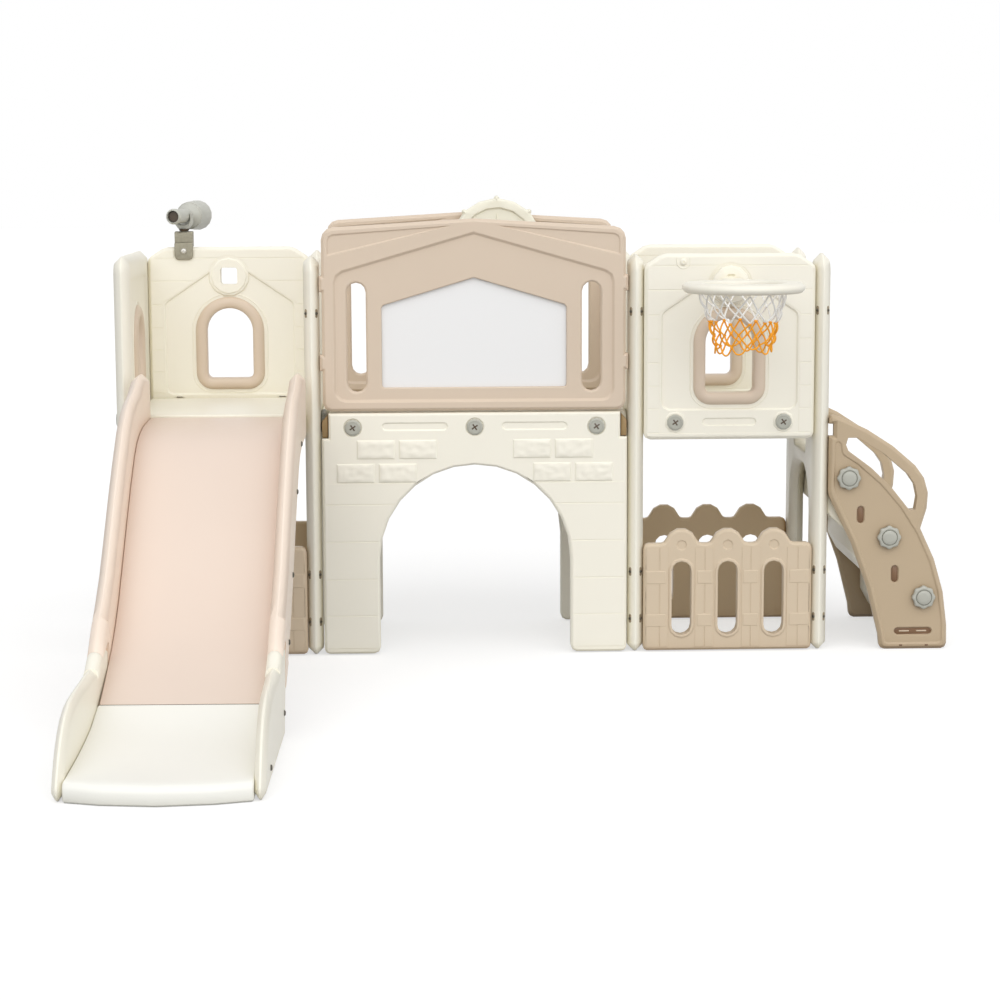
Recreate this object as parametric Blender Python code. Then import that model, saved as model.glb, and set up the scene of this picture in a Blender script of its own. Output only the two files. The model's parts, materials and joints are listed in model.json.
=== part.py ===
"""Toddler play castle: two square towers joined by a bridge, with a slide and a curved climber.

Metres, +Z up. Lengths are laid out from the middle of the left outer frame (X = 0), the front
faces of the frames (Y = 0) and the floor (Z = 0). At the end the whole set is moved so that its
origin lies on the floor, at the middle of its box.

Almost every piece is a blow-moulded panel. Moulding builds one from closed rings: a rounded rim,
flat areas, and features that are sunk in or raised from them.
"""

import math

import bmesh
import bpy
from mathutils import Vector
from mathutils.geometry import delaunay_2d_cdt

# Towers and bridge
TOWER = 0.465
BRIDGE = 0.805
FRAME_THICK = 0.038
FRAME_DEPTH = 0.460
FRAME_HEIGHT = 1.000
LEG = 0.085
DECK_TOP = 0.612
DECK_THICK = 0.052
PANEL_THICK = 0.035
CLEAR = 0.0006

# Panels between the frames
PANEL_WIDE = TOWER - FRAME_THICK - 2 * CLEAR
WALL_LOW = 0.539
WALL_HIGH = 1.001
WINDOW_WIDE = 0.120
WINDOW_LOW = 0.656
WINDOW_HIGH = 0.840
RING_WIDE = 0.030
BOSS_UP = 0.925
BOSS_ROUND = 0.048

# Small fixings
BOLT_HEAD = 0.0205
SHANK = 0.006
SHANK_HOLE = 0.0068
KNOB_ROUND = 0.030

# How far a facet may cut inside the arc that it stands for
FACET = 0.0018

FACING_FRONT = (math.pi / 2, 0, 0)
FACING_BACK = (math.pi / 2, 0, math.pi)
FACING_RIGHT = (math.pi / 2, 0, math.pi / 2)
FACING_LEFT = (math.pi / 2, 0, -math.pi / 2)

LEFT_OUTER = 0.0
LEFT_INNER = TOWER
RIGHT_INNER = TOWER + BRIDGE
RIGHT_OUTER = 2 * TOWER + BRIDGE
LEFT_MIDDLE = TOWER / 2
BRIDGE_MIDDLE = TOWER + BRIDGE / 2
RIGHT_MIDDLE = TOWER + BRIDGE + TOWER / 2


def clear_scene():
    for old in list(bpy.data.objects):
        bpy.data.objects.remove(old, do_unlink=True)


def plastic(name, colour, roughness=0.45, metallic=0.0):
    """A Principled material. The colour is given as it looks, from 0 to 255."""
    material = bpy.data.materials.new(name)
    material.use_nodes = True
    shader = material.node_tree.nodes["Principled BSDF"]
    linear = [(channel / 255) ** 2.2 for channel in colour]
    shader.inputs["Base Color"].default_value = (*linear, 1.0)
    shader.inputs["Roughness"].default_value = roughness
    shader.inputs["Metallic"].default_value = metallic
    material.diffuse_color = (*linear, 1.0)
    return material


def facets(radius, sweep):
    """How many straight facets an arc takes."""
    turn = 2 * math.acos(max(0.3, 1 - FACET / radius))
    return max(1, math.ceil(abs(sweep) / turn - 1e-6))


def arc(centre, radius, start, end):
    """Points along an arc, from one angle in degrees to another."""
    first = math.radians(start)
    sweep = math.radians(end) - first
    count = facets(radius, sweep)
    angles = [first + sweep * step / count for step in range(count + 1)]
    return [(centre[0] + radius * math.cos(a), centre[1] + radius * math.sin(a)) for a in angles]


def circle(x, y, radius, least=8):
    count = max(least, facets(radius, 2 * math.pi))
    angles = [2 * math.pi * step / count for step in range(count)]
    return [(x + radius * math.cos(a), y + radius * math.sin(a)) for a in angles]


def tidy(points):
    """The points of a closed outline, without any that repeats the one before it."""
    kept = []
    for point in points:
        if not kept or math.dist(point, kept[-1]) > 1e-5:
            kept.append(point)
    if math.dist(kept[0], kept[-1]) <= 1e-5:
        kept.pop()
    return kept


def rounded(corners):
    """An outline from corners (x, y, radius), run anticlockwise. A radius may be left out."""
    points = []
    count = len(corners)
    for index, corner in enumerate(corners):
        radius = corner[2] if len(corner) > 2 else 0
        here = Vector(corner[:2])
        if not radius:
            points.append(tuple(here))
            continue
        back = (Vector(corners[index - 1][:2]) - here).normalized()
        ahead = (Vector(corners[(index + 1) % count][:2]) - here).normalized()
        half = back.angle(ahead) / 2
        if half > math.radians(89):
            points.append(tuple(here))
            continue
        centre = here + (back + ahead).normalized() * radius / math.sin(half)
        start = here + back * radius / math.tan(half) - centre
        end = here + ahead * radius / math.tan(half) - centre
        sweep = math.atan2(start.x * end.y - start.y * end.x, start.dot(end))
        first = math.degrees(math.atan2(start.y, start.x))
        points += arc(centre, radius, first, first + math.degrees(sweep))
    return tidy(points)


def box_outline(left, bottom, right, top, radius=0.0):
    corners = ((left, bottom), (right, bottom), (right, top), (left, top))
    return rounded([(x, y, radius) for x, y in corners])


def stadium(x, y, wide, high):
    radius = min(wide, high) / 2 - 1e-6
    return box_outline(x - wide / 2, y - high / 2, x + wide / 2, y + high / 2, radius)


def inset(outline, distance):
    """The outline moved inwards by a distance, with its points kept in step."""
    if not distance:
        return list(outline)
    moved = []
    count = len(outline)
    for index, point in enumerate(outline):
        here = Vector(point)
        back = (here - Vector(outline[index - 1])).normalized()
        ahead = (Vector(outline[(index + 1) % count]) - here).normalized()
        left = Vector((-back.y, back.x))
        across = (left + Vector((-ahead.y, ahead.x))).normalized()
        moved.append(tuple(here + across * distance / max(0.35, across.dot(left))))
    return moved


def mirrored(outline):
    return [(-x, y) for x, y in reversed(outline)]


def flow(points, steps):
    """Points on a smooth curve through the given ones, with so many steps to each span."""
    padded = [points[0], *points, points[-1]]
    curve = []
    for index in range(1, len(padded) - 2):
        before, start, end, after = (Vector(p) for p in padded[index - 1 : index + 3])
        for step in range(steps):
            t = step / steps
            lead = (end - before) / 2
            trail = (after - start) / 2
            curve.append(
                tuple(
                    start * (2 * t**3 - 3 * t**2 + 1)
                    + lead * (t**3 - 2 * t**2 + t)
                    + end * (3 * t**2 - 2 * t**3)
                    + trail * (t**3 - t**2)
                )
            )
    return [*curve, tuple(points[-1])]


def between(point, points, edges):
    """Whether a point lies inside a rim and outside the mouths in it."""
    crossings = 0
    for first, second in edges:
        start, end = points[first], points[second]
        if (start.y > point.y) != (end.y > point.y):
            share = (point.y - start.y) / (end.y - start.y)
            crossings += start.x + (end.x - start.x) * share > point.x
    return crossings % 2 == 1


class Feature:
    """Something sunk in or raised from a flat area.

    outline is its mouth. steps are rings (inset, rise) from the mouth on, a rise below zero
    being sunk. inside holds the features on its floor. A hole has the name that its other end
    has on the far face.
    """

    def __init__(self, outline, steps=(), inside=(), hole=None):
        self.outline = outline
        self.steps = steps
        self.inside = inside
        self.hole = hole


class Moulding:
    """A closed panel, drawn in x and y, with z through its thickness."""

    def __init__(self):
        self.mesh = bmesh.new()
        self.half_holes = {}

    def ring(self, outline, level):
        return [self.mesh.verts.new((x, y, level)) for x, y in outline]

    def band(self, first, second):
        for index in range(len(first)):
            corners = (first[index - 1], first[index], second[index], second[index - 1])
            self.mesh.faces.new(corners)

    def fill(self, rim, mouths):
        """Flat triangles between a rim and the mouths in it."""
        verts = [vert for ring in [rim, *mouths] for vert in ring]
        edges = []
        for ring in [rim, *mouths]:
            first = len(edges)
            edges += [(first + i, first + (i + 1) % len(ring)) for i in range(len(ring))]
        points = [Vector((vert.co.x, vert.co.y)) for vert in verts]
        found = delaunay_2d_cdt(points, edges, [], 1, 1e-7)
        if len(found[0]) != len(verts):
            raise ValueError(f"two mouths or a rim cross near {tuple(points[0])}")
        for face in found[2]:
            corners = [found[3][corner][0] for corner in face]
            if between(sum((points[corner] for corner in corners), Vector((0, 0))) / 3, points, edges):
                self.mesh.faces.new([verts[corner] for corner in corners])

    def area(self, rim, level, features, side):
        """Fills a flat area and models its features. side is 1 on the front and -1 on the back."""
        mouths = []
        for feature in features:
            ring = self.ring(feature.outline, level)
            mouths.append(ring)
            rise = 0.0
            for distance, rise in feature.steps:
                further = self.ring(inset(feature.outline, distance), level + side * rise)
                self.band(ring, further)
                ring = further
            if not feature.hole:
                self.area(ring, level + side * rise, feature.inside, side)
            elif feature.hole in self.half_holes:
                self.band(ring, self.half_holes.pop(feature.hole))
            else:
                self.half_holes[feature.hole] = ring
        self.fill(rim, mouths)


def panel(outline, thick, edge, front=(), back=(), quarter=2):
    """A moulded panel whose rim is rounded by edge, in so many facets to each quarter turn."""
    form = Moulding()
    half = thick / 2
    profile = []
    for step in range(quarter + 1):
        turn = math.pi / 2 * step / quarter
        profile.append((edge * (1 - math.sin(turn)), half - edge * (1 - math.cos(turn))))
    levels = [(distance, level) for distance, level in profile]
    levels += [(distance, -level) for distance, level in reversed(profile)]
    rings = []
    for distance, level in levels:
        if rings and level == last_level:
            continue
        rings.append(form.ring(inset(outline, distance), level))
        last_level = level
    for upper, lower in zip(rings, rings[1:]):
        form.band(upper, lower)
    form.area(rings[0], half, front, 1)
    form.area(rings[-1], -half, back, -1)
    return form.mesh


def through(name, outline, mouth=0.0):
    """A hole's two ends, for the front and the back, with a softened mouth."""
    steps = [(mouth, -mouth)] if mouth else []
    return Feature(outline, steps, hole=name)


def turned(profile, sides):
    """A solid turned about z from (radius, z) pairs, lowest first, that start and end on the axis."""
    mesh = bmesh.new()
    rings = []
    for radius, level in profile:
        if not radius:
            rings.append([mesh.verts.new((0, 0, level))])
            continue
        angles = [2 * math.pi * (step + 0.5) / sides for step in range(sides)]
        rings.append([mesh.verts.new((radius * math.cos(a), radius * math.sin(a), level)) for a in angles])
    for lower, upper in zip(rings, rings[1:]):
        for step in range(sides):
            nearer = (step + 1) % sides
            if len(lower) == 1:
                mesh.faces.new((lower[0], upper[nearer], upper[step]))
            elif len(upper) == 1:
                mesh.faces.new((lower[step], lower[nearer], upper[0]))
            else:
                mesh.faces.new((lower[step], lower[nearer], upper[nearer], upper[step]))
    return mesh


def rod(radius, reach):
    """A plain round rod along z, as far each way from the middle."""
    return turned([(0, -reach), (radius, -reach), (radius, reach), (0, reach)], 8)


def closed_section(path, section):
    """A solid made by carrying a closed section (outset, z) round a closed path."""
    form = Moulding()
    rings = [form.ring(inset(path, -outset), level) for outset, level in section]
    for index in range(len(rings)):
        form.band(rings[index - 1], rings[index])
    return form.mesh


class Set:
    """The play set: every piece is placed under one empty, the middle of its footprint."""

    def __init__(self):
        self.origin = bpy.data.objects.new("footprint", None)
        bpy.context.scene.collection.objects.link(self.origin)
        self.pieces = []

    def add(self, name, mesh, material, place=(0, 0, 0), turn=(0, 0, 0), smooth=35, parent=None):
        bmesh.ops.recalc_face_normals(mesh, faces=mesh.faces)
        data = bpy.data.meshes.new(name)
        mesh.to_mesh(data)
        mesh.free()
        data.materials.append(material)
        data.shade_smooth()
        data.set_sharp_from_angle(angle=math.radians(smooth))
        piece = bpy.data.objects.new(name, data)
        bpy.context.scene.collection.objects.link(piece)
        piece.parent = parent or self.origin
        piece.location = place
        piece.rotation_euler = turn
        self.pieces.append(piece)
        return piece

    def shape(self, name, mesh, piece, operation, turn=(0, 0, 0), parent=None, place=(0, 0, 0)):
        """Adds a helper solid that is joined to a piece, or cut out of it."""
        helper = self.add(name, mesh, piece.data.materials[0], place, turn, parent=parent)
        self.pieces.remove(helper)
        helper.hide_render = True
        helper.display_type = "WIRE"
        modifier = piece.modifiers.new(name, "BOOLEAN")
        modifier.operation = operation
        modifier.object = helper

    def pivot(self, name, place, turn=(0, 0, 0), parent=None):
        """An empty on a joint's axis."""
        empty = bpy.data.objects.new(name, None)
        bpy.context.scene.collection.objects.link(empty)
        empty.parent = parent or self.origin
        empty.location = place
        empty.rotation_euler = turn
        return empty

    def centre(self):
        """Moves the set so that the origin is at the middle of its footprint."""
        bpy.context.view_layer.update()
        points = [piece.matrix_world @ v.co for piece in self.pieces for v in piece.data.vertices]
        middle = [(min(p[axis] for p in points) + max(p[axis] for p in points)) / 2 for axis in (0, 1)]
        self.origin.location = (-middle[0], -middle[1], -min(p.z for p in points))
        bpy.context.view_layer.update()


# Outlines that more than one piece shares


def window(low=WINDOW_LOW, high=WINDOW_HIGH, wide=WINDOW_WIDE):
    """The round-headed window opening, about x = 0."""
    half = wide / 2
    foot = 0.014
    head = half - 1e-6
    return rounded([(-half, low, foot), (half, low, foot), (half, high, head), (-half, high, head)])


def house_field():
    """The sunk field of a wall: a house shape whose gable stops at the round boss."""
    half = 0.171
    low = 0.612
    eave = 0.855
    slope = math.radians(34)
    round_boss = BOSS_ROUND + 0.003
    below = BOSS_UP - eave - half * math.tan(slope)
    reach = math.hypot(1, math.tan(slope))
    meeting = math.degrees(math.asin(below / (round_boss * reach) * -1)) - math.degrees(slope)
    collar = arc((0, BOSS_UP), round_boss, meeting, -180 - meeting)
    return rounded(
        [(-half, low, 0.02), (half, low, 0.02), (half, eave, 0.02), *collar, (-half, eave, 0.02)]
    )


# Frames, decks and walls

WINDOW_SEAT = 0.0120
FIELD_SUNK = 0.005
KNOB_UP = 0.585
LEFT_KNOB_BACK = 0.145
INNER_KNOB_BACK = 0.072


def frame(walled, knob_back=None):
    """A side frame, drawn in depth (x) and height (y). A walled one is closed above the deck."""
    deep = FRAME_DEPTH
    high = FRAME_HEIGHT
    foot = 0.022
    arch_top = 0.445
    arch_corner = 0.100
    post_top = LEG / 2 - 1e-6
    sill = 0.618
    corners = [
        (0, 0, foot),
        (LEG, 0, foot),
        (LEG, arch_top, arch_corner),
        (deep - LEG, arch_top, arch_corner),
        (deep - LEG, 0, foot),
        (deep, 0, foot),
        (deep, high, post_top),
    ]
    if not walled:
        corners += [(deep - LEG, high, post_top), (deep - LEG, sill, 0.05)]
        corners += [(LEG, sill, 0.05), (LEG, high, post_top)]
    corners += [(0, high, post_top)]
    vent = through("vent", box_outline(0.130, 0.484, deep - 0.130, 0.536, 0.018), 0.004)
    faces = [vent]
    if knob_back:
        faces.append(through("knob", circle(knob_back, KNOB_UP, SHANK_HOLE)))
    if walled:
        opening = [(x + deep / 2, y) for x, y in inset(window(), -WINDOW_SEAT)]
        field = box_outline(0.050, 0.612, deep - 0.050, 0.945, 0.030)
        faces.append(Feature(field, [(0.006, -0.0065)], [through("window", opening)]))
    return panel(rounded(corners), FRAME_THICK, 0.016, faces, faces, quarter=1)


def add_frames(castle, cream):
    places = {
        "left_outer_frame": (LEFT_OUTER, True, LEFT_KNOB_BACK),
        "left_inner_frame": (LEFT_INNER, False, INNER_KNOB_BACK),
        "right_inner_frame": (RIGHT_INNER, False, None),
        "right_outer_frame": (RIGHT_OUTER, False, None),
    }
    for name, (across, walled, knob_back) in places.items():
        castle.add(name, frame(walled, knob_back), cream, (across, 0, 0), FACING_RIGHT)


BOLT_ASIDE = 0.1355
BOLT_UP = 0.583


def wall():
    """A tower wall above the deck, with its window and square socket.

    Its bolt seats and slot are on the outer face only, because the deck covers them inside.
    """
    half = PANEL_WIDE / 2
    outline = rounded(
        [
            (-half, WALL_LOW, 0.016),
            (half, WALL_LOW, 0.016),
            (half, WALL_HIGH - 0.030, 0.020),
            (half - 0.045, WALL_HIGH, 0.030),
            (-half + 0.045, WALL_HIGH, 0.030),
            (-half, WALL_HIGH - 0.030, 0.020),
        ]
    )
    socket = through("socket", box_outline(-0.022, BOSS_UP - 0.022, 0.022, BOSS_UP + 0.022, 0.005))
    boss = Feature(circle(0, BOSS_UP, BOSS_ROUND), [(0.003, 0.003)], [socket])
    seat = through("window", inset(window(), -WINDOW_SEAT))
    field = Feature(house_field(), [(0.004, -FIELD_SUNK)], [seat])
    slot = Feature(stadium(0, BOLT_UP, 0.137, 0.020), [(0.002, -0.003)])
    outer = [boss, field, slot]
    inner = [boss, field]
    for side in (-1, 1):
        ear = circle(side * BOLT_ASIDE, BOLT_UP, BOLT_HEAD + 0.0065)
        shank = through(f"bolt {side}", circle(side * BOLT_ASIDE, BOLT_UP, SHANK_HOLE))
        outer.append(Feature(ear, [(0.003, 0.003)], [shank]))
        inner.append(shank)
    return panel(outline, PANEL_THICK, 0.007, outer, inner, quarter=1)


FRONT_WALL_BACK = PANEL_THICK / 2 + 0.001
BACK_WALL_BACK = FRAME_DEPTH - PANEL_THICK / 2 - 0.001

# The panels above the deck sit a little higher at the back than at the front
BACK_RAISED = 0.008


def add_walls(castle, cream, grey):
    front = (RIGHT_MIDDLE, FRONT_WALL_BACK, 0)
    castle.add("right_front_wall", wall(), cream, front, FACING_FRONT)
    for side, across in (("left", LEFT_MIDDLE), ("right", RIGHT_MIDDLE)):
        back = (across, BACK_WALL_BACK, BACK_RAISED)
        castle.add(f"{side}_back_wall", wall(), cream, back, FACING_BACK)
    face = FRONT_WALL_BACK - PANEL_THICK / 2 - 0.003
    for side, aside in (("left", -BOLT_ASIDE), ("right", BOLT_ASIDE)):
        add_bolt(castle, grey, f"front_wall_bolt_{side}", (RIGHT_MIDDLE + aside, face, BOLT_UP))


def add_bolt(castle, grey, name, place, turn=FACING_FRONT, length=0.030):
    """A round-headed bolt whose head bears on the face at its place."""
    profile = [
        (0, -length),
        (SHANK, -length),
        (SHANK, CLEAR),
        (BOLT_HEAD, CLEAR),
        (BOLT_HEAD, 0.003),
        (BOLT_HEAD - 0.003, 0.0055),
        (0, 0.0065),
    ]
    castle.add(name, turned(profile, 12), grey, place, turn)


def window_ring():
    """A window ring of two rounded flanges that clip round the wall."""
    flange = RING_WIDE
    face = PANEL_THICK / 2 - FIELD_SUNK + 0.0004
    proud = face + 0.010
    section = [
        (0, face),
        (0.008, proud),
        (flange - 0.008, proud),
        (flange, face),
        (WINDOW_SEAT - 0.0004, face),
        (WINDOW_SEAT - 0.0004, -face),
        (flange, -face),
        (flange - 0.008, -proud),
        (0.008, -proud),
        (0, -face),
    ]
    return closed_section(window(), section)


def add_window_rings(castle, sand):
    front = (RIGHT_MIDDLE, FRONT_WALL_BACK, 0)
    castle.add("right_front_window_ring", window_ring(), sand, front, FACING_FRONT)
    for side, across in (("left", LEFT_MIDDLE), ("right", RIGHT_MIDDLE)):
        back = (across, BACK_WALL_BACK, BACK_RAISED)
        castle.add(f"{side}_back_window_ring", window_ring(), sand, back, FACING_BACK)
    outer = (LEFT_OUTER, FRAME_DEPTH / 2, 0)
    castle.add("left_side_window_ring", window_ring(), sand, outer, FACING_RIGHT)


def deck(left, bottom, right, top, notches=()):
    """A deck slab, drawn from above. A notch (x, y) is a corner left free for a knob."""
    outline = []
    for x, y in ((left, bottom), (right, bottom), (right, top), (left, top)):
        if (x, y) not in notches:
            outline.append((x, y, 0.008))
            continue
        wide = 0.020
        deep = 0.075
        outline += [(x, y + deep, 0.008), (x + wide, y + deep, 0.004), (x + wide, y, 0.008)]
    return panel(rounded(outline), DECK_THICK, 0.006, quarter=1)


def add_decks(castle, cream):
    level = (0, 0, DECK_TOP - DECK_THICK / 2)
    inner = FRAME_THICK / 2 + CLEAR
    behind = BACK_WALL_BACK - PANEL_THICK / 2 - 0.003 - CLEAR
    before = FRONT_WALL_BACK + PANEL_THICK / 2 + 0.003 + CLEAR
    slab = deck(LEFT_OUTER + inner, 0.0, LEFT_INNER - inner, behind)
    castle.add("left_deck", slab, cream, level)
    corner = (LEFT_INNER + inner, before)
    slab = deck(*corner, RIGHT_INNER - inner, behind, [corner])
    castle.add("bridge_deck", slab, cream, level)
    slab = deck(RIGHT_INNER + inner, before, RIGHT_OUTER - inner, behind)
    castle.add("right_deck", slab, cream, level)


# Bridge panels

ARCH_HALF = 0.380
ARCH_OPEN = 0.239
ARCH_PEAK = 0.480
ARCH_HIGH = 0.611
BRICK_WIDE = 0.094
BRICK_HIGH = 0.047
ARCH_BOLT_UP = 0.575
ARCH_BOLT_ASIDE = 0.3035


def bricks():
    """Two courses of raised bricks on each side of the arch."""
    raised = []
    for side in (-1, 1):
        for up, aside in ((0.520, 0.142), (0.461, 0.1925)):
            for along in (0, 0.1045):
                left = side * (aside + along) - BRICK_WIDE / 2
                low = up - BRICK_HIGH / 2
                brick = box_outline(left, low, left + BRICK_WIDE, low + BRICK_HIGH)
                raised.append(Feature(brick, [(0.003, 0.003)]))
    return raised


def arch_panel():
    low = 0.003
    notch_wide = 0.017
    notch_low = 0.548
    outline = rounded(
        [
            (-ARCH_HALF, low, 0.012),
            (-ARCH_OPEN, low, 0.016),
            (-ARCH_OPEN, ARCH_PEAK, ARCH_OPEN - 1e-6),
            (ARCH_OPEN, ARCH_PEAK, ARCH_OPEN - 1e-6),
            (ARCH_OPEN, low, 0.016),
            (ARCH_HALF, low, 0.012),
            (ARCH_HALF, notch_low),
            (ARCH_HALF - notch_wide, notch_low),
            (ARCH_HALF - notch_wide, ARCH_HIGH),
            (-ARCH_HALF + notch_wide, ARCH_HIGH),
            (-ARCH_HALF + notch_wide, notch_low),
            (-ARCH_HALF, notch_low),
        ]
    )
    front = bricks()
    back = []
    for x in (-ARCH_BOLT_ASIDE, 0, ARCH_BOLT_ASIDE):
        seat = circle(x, ARCH_BOLT_UP, BOLT_HEAD + 0.003, 12)
        shank = circle(x, ARCH_BOLT_UP, SHANK_HOLE)
        front.append(Feature(seat, [(0.001, -0.0025)], [through(f"bolt {x}", shank)]))
        back.append(through(f"bolt {x}", shank))
    for x in (-0.149, 0.149):
        front.append(Feature(stadium(x, ARCH_BOLT_UP + 0.002, 0.165, 0.020), [(0.002, -0.003)]))
    return panel(outline, PANEL_THICK, 0.005, front, back, quarter=1)


def add_arches(castle, cream, grey):
    castle.add("bridge_front_arch", arch_panel(), cream, (BRIDGE_MIDDLE, FRONT_WALL_BACK, 0), FACING_FRONT)
    castle.add("bridge_back_arch", arch_panel(), cream, (BRIDGE_MIDDLE, BACK_WALL_BACK, 0), FACING_BACK)
    face = FRONT_WALL_BACK - PANEL_THICK / 2 + 0.0025
    for side, aside in (("left", -ARCH_BOLT_ASIDE), ("middle", 0), ("right", ARCH_BOLT_ASIDE)):
        add_bolt(castle, grey, f"arch_bolt_{side}", (BRIDGE_MIDDLE + aside, face, ARCH_BOLT_UP))


GABLE_HALF = 0.376
GABLE_LOW = 0.616
GABLE_EAVE = 1.068
GABLE_PEAK = 1.090
PANE_GROOVE = 0.006
WHEEL_ASIDE = 0.070
WHEEL_UP = 1.013


def pane_opening():
    wide = 0.231
    low = 0.672
    shoulder = 0.878
    peak = 0.947
    radius = 0.008
    foot = [(-wide, low, radius), (wide, low, radius)]
    return rounded([*foot, (wide, shoulder, radius), (0, peak), (-wide, shoulder, radius)])


def gable_panel(wheel_side=None):
    """A bridge panel with its roof band, sunk field, pane opening and two hand slots.

    wheel_side is where the back panel's hole for the wheel's axle lies, seen from the front.
    """
    lug_reach = BRIDGE / 2 - FRAME_THICK / 2 - 0.001
    lugs = []
    for low in (0.716, 0.911):
        high = low + 0.040
        lugs += [(GABLE_HALF, low), (lug_reach, low), (lug_reach, high), (GABLE_HALF, high)]
    right = [(GABLE_HALF, GABLE_LOW, 0.020), *lugs, (GABLE_HALF, GABLE_EAVE, 0.030)]
    left = [(-corner[0], *corner[1:]) for corner in reversed(right)]
    outline = rounded([*right, (0, GABLE_PEAK), *left])
    half = 0.348
    field_sunk = 0.006
    low = 0.638
    shoulder = 0.958
    radius = 0.030
    foot = [(-half, low, radius), (half, low, radius)]
    field = rounded([*foot, (half, shoulder, radius), (0, 1.058), (-half, shoulder, radius)])
    groove = [(0.002, -0.002), (0.002, -0.0085), (-PANE_GROOVE, -0.0085)]
    inside = [Feature(pane_opening(), groove, hole="pane")]
    for side in (-1, 1):
        slot = stadium(side * 0.291, 0.7985, 0.055, 0.279)
        inside.append(through(f"slot {side}", slot, 0.004))
    if wheel_side:
        inside.append(through("axle", circle(wheel_side, WHEEL_UP - BACK_RAISED, SHANK_HOLE)))
    face = [Feature(field, [(0.006, -field_sunk)], inside)]
    spandrel = rounded([(0.362, 1.000), (0.362, 1.052, 0.016), (0.060, 1.0725)])
    for corner in (spandrel, mirrored(spandrel)):
        face.append(Feature(corner, [(0.003, -0.003)]))
    return panel(outline, PANEL_THICK, 0.007, face, face, quarter=1)


def add_gables(castle, sand, clear):
    front = (BRIDGE_MIDDLE, FRONT_WALL_BACK, 0)
    back = (BRIDGE_MIDDLE, BACK_WALL_BACK, BACK_RAISED)
    castle.add("bridge_front_panel", gable_panel(), sand, front, FACING_FRONT)
    castle.add("bridge_back_panel", gable_panel(WHEEL_ASIDE), sand, back, FACING_FRONT)
    sheet = inset(pane_opening(), 0.0008 - PANE_GROOVE)
    for name, place in (("front_pane", front), ("back_pane", back)):
        pane = panel(sheet, 0.0048, 0.0004, quarter=1)
        castle.add(name, pane, clear, place, FACING_FRONT)


# Fences

FENCE_LOW = 0.003
FENCE_SHOULDER = 0.276
HUMP_ROUND = 0.041
HUMP_UP = 0.272
PICKET = 0.1165


def hump(middle):
    """A picket's round head, from right to left, flowing into the shoulders on each side."""
    fillet = 0.012
    up = FENCE_SHOULDER + fillet
    aside = math.sqrt((HUMP_ROUND + fillet) ** 2 - (up - HUMP_UP) ** 2)
    lean = math.degrees(math.atan2(up - HUMP_UP, aside))
    return [
        *arc((middle + aside, up), fillet, 270, 180 + lean),
        *arc((middle, HUMP_UP), HUMP_ROUND, lean, 180 - lean)[1:-1],
        *arc((middle - aside, up), fillet, -lean, -90),
    ]


def fence():
    half = PANEL_WIDE / 2
    corners = [(-half, FENCE_LOW, 0.010), (half, FENCE_LOW, 0.010), (half, FENCE_SHOULDER, 0.014)]
    for column in (1, 0, -1):
        corners += hump(column * PICKET)
    corners += [(-half, FENCE_SHOULDER, 0.014)]
    slot_wide = 0.050
    slot_low = 0.0425
    slot_high = 0.231
    front = []
    back = []
    for column in (-1, 0, 1):
        slot = stadium(column * PICKET, (slot_low + slot_high) / 2, slot_wide, slot_high - slot_low)
        bar = through(f"slot {column}", slot)
        front.append(Feature(inset(slot, -0.008), [(0.003, 0.003)], [bar]))
        back.append(bar)
        front.append(Feature(circle(column * PICKET, HUMP_UP, 0.0135), [(0.002, -0.0025)]))
    for low, high in ((0.173, 0.208), (0.064, 0.097)):
        for left, right in ((-0.206, -0.155), (-0.078, -0.038), (0.038, 0.078), (0.155, 0.206)):
            front.append(Feature(box_outline(left, low, right, high), [(0.002, 0.002)]))
    return panel(rounded(corners), 0.030, 0.006, front, back, quarter=1)


def add_fences(castle, tan):
    for side, across in (("left", LEFT_MIDDLE), ("right", RIGHT_MIDDLE)):
        front = (across, 0.030 / 2 + 0.002, 0)
        castle.add(f"{side}_front_fence", fence(), tan, front, FACING_FRONT)
        back = (across, FRAME_DEPTH - 0.030 / 2 - 0.002, 0)
        castle.add(f"{side}_back_fence", fence(), tan, back, FACING_BACK)


# Slide

SLIDE_HALF = 0.2085
RAIL_THICK = 0.034
BED_THICK = 0.028
CHUTE = [
    (-0.012, 0.606),
    (-0.130, 0.604),
    (-0.235, 0.590),
    (-0.330, 0.548),
    (-0.480, 0.420),
    (-0.640, 0.268),
    (-0.770, 0.180),
    (-0.960, 0.100),
]
RUN_OUT = [(-0.9622, 0.0990), (-1.060, 0.0710), (-1.200, 0.0530), (-1.348, 0.0430)]

# The low end's sides get thinner towards its nose, and the whole slide stands a little askew
EXIT_START = -0.800
EXIT_NOSE = -1.384
NOSE_BOW = 0.036
SIDE_THINNED = 0.012
SLIDE_ASKEW = 1.1
SLIDE_ASIDE = 0.010


def ride_line(points, rise, steps=2):
    """The sliding surface, moved square to itself by rise."""
    line = [Vector(p) for p in flow(points, steps)]
    moved = []
    for index, point in enumerate(line):
        before = line[max(0, index - 1)]
        after = line[min(len(line) - 1, index + 1)]
        along = (after - before).normalized()
        moved.append(tuple(point + Vector((along.y, -along.x)) * rise))
    return moved


def chute_bed():
    """The bed's side outline, front (low) end first: underneath, then back along the top."""
    top = ride_line(CHUTE, 0)
    under = ride_line(CHUTE, -BED_THICK)
    return tidy([*reversed(under), *top])


def chute_rail():
    """A side rail, deeper than the bed, with a round head at the deck."""
    top = ride_line(CHUTE[1:7], 0.088)
    under = ride_line(CHUTE[:7], -0.060)
    head = [(-0.002, 0.560, 0.016), (-0.002, 0.716, 0.040), (-0.100, 0.716)]
    under[0] = (-0.040, 0.548)
    return rounded([*reversed(under), *head, *top[1:]])


def thinned(along):
    """How much thinner a side of the low end is at a place along the slide."""
    return SIDE_THINNED * (EXIT_START - along) / (EXIT_START - EXIT_NOSE)


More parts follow.
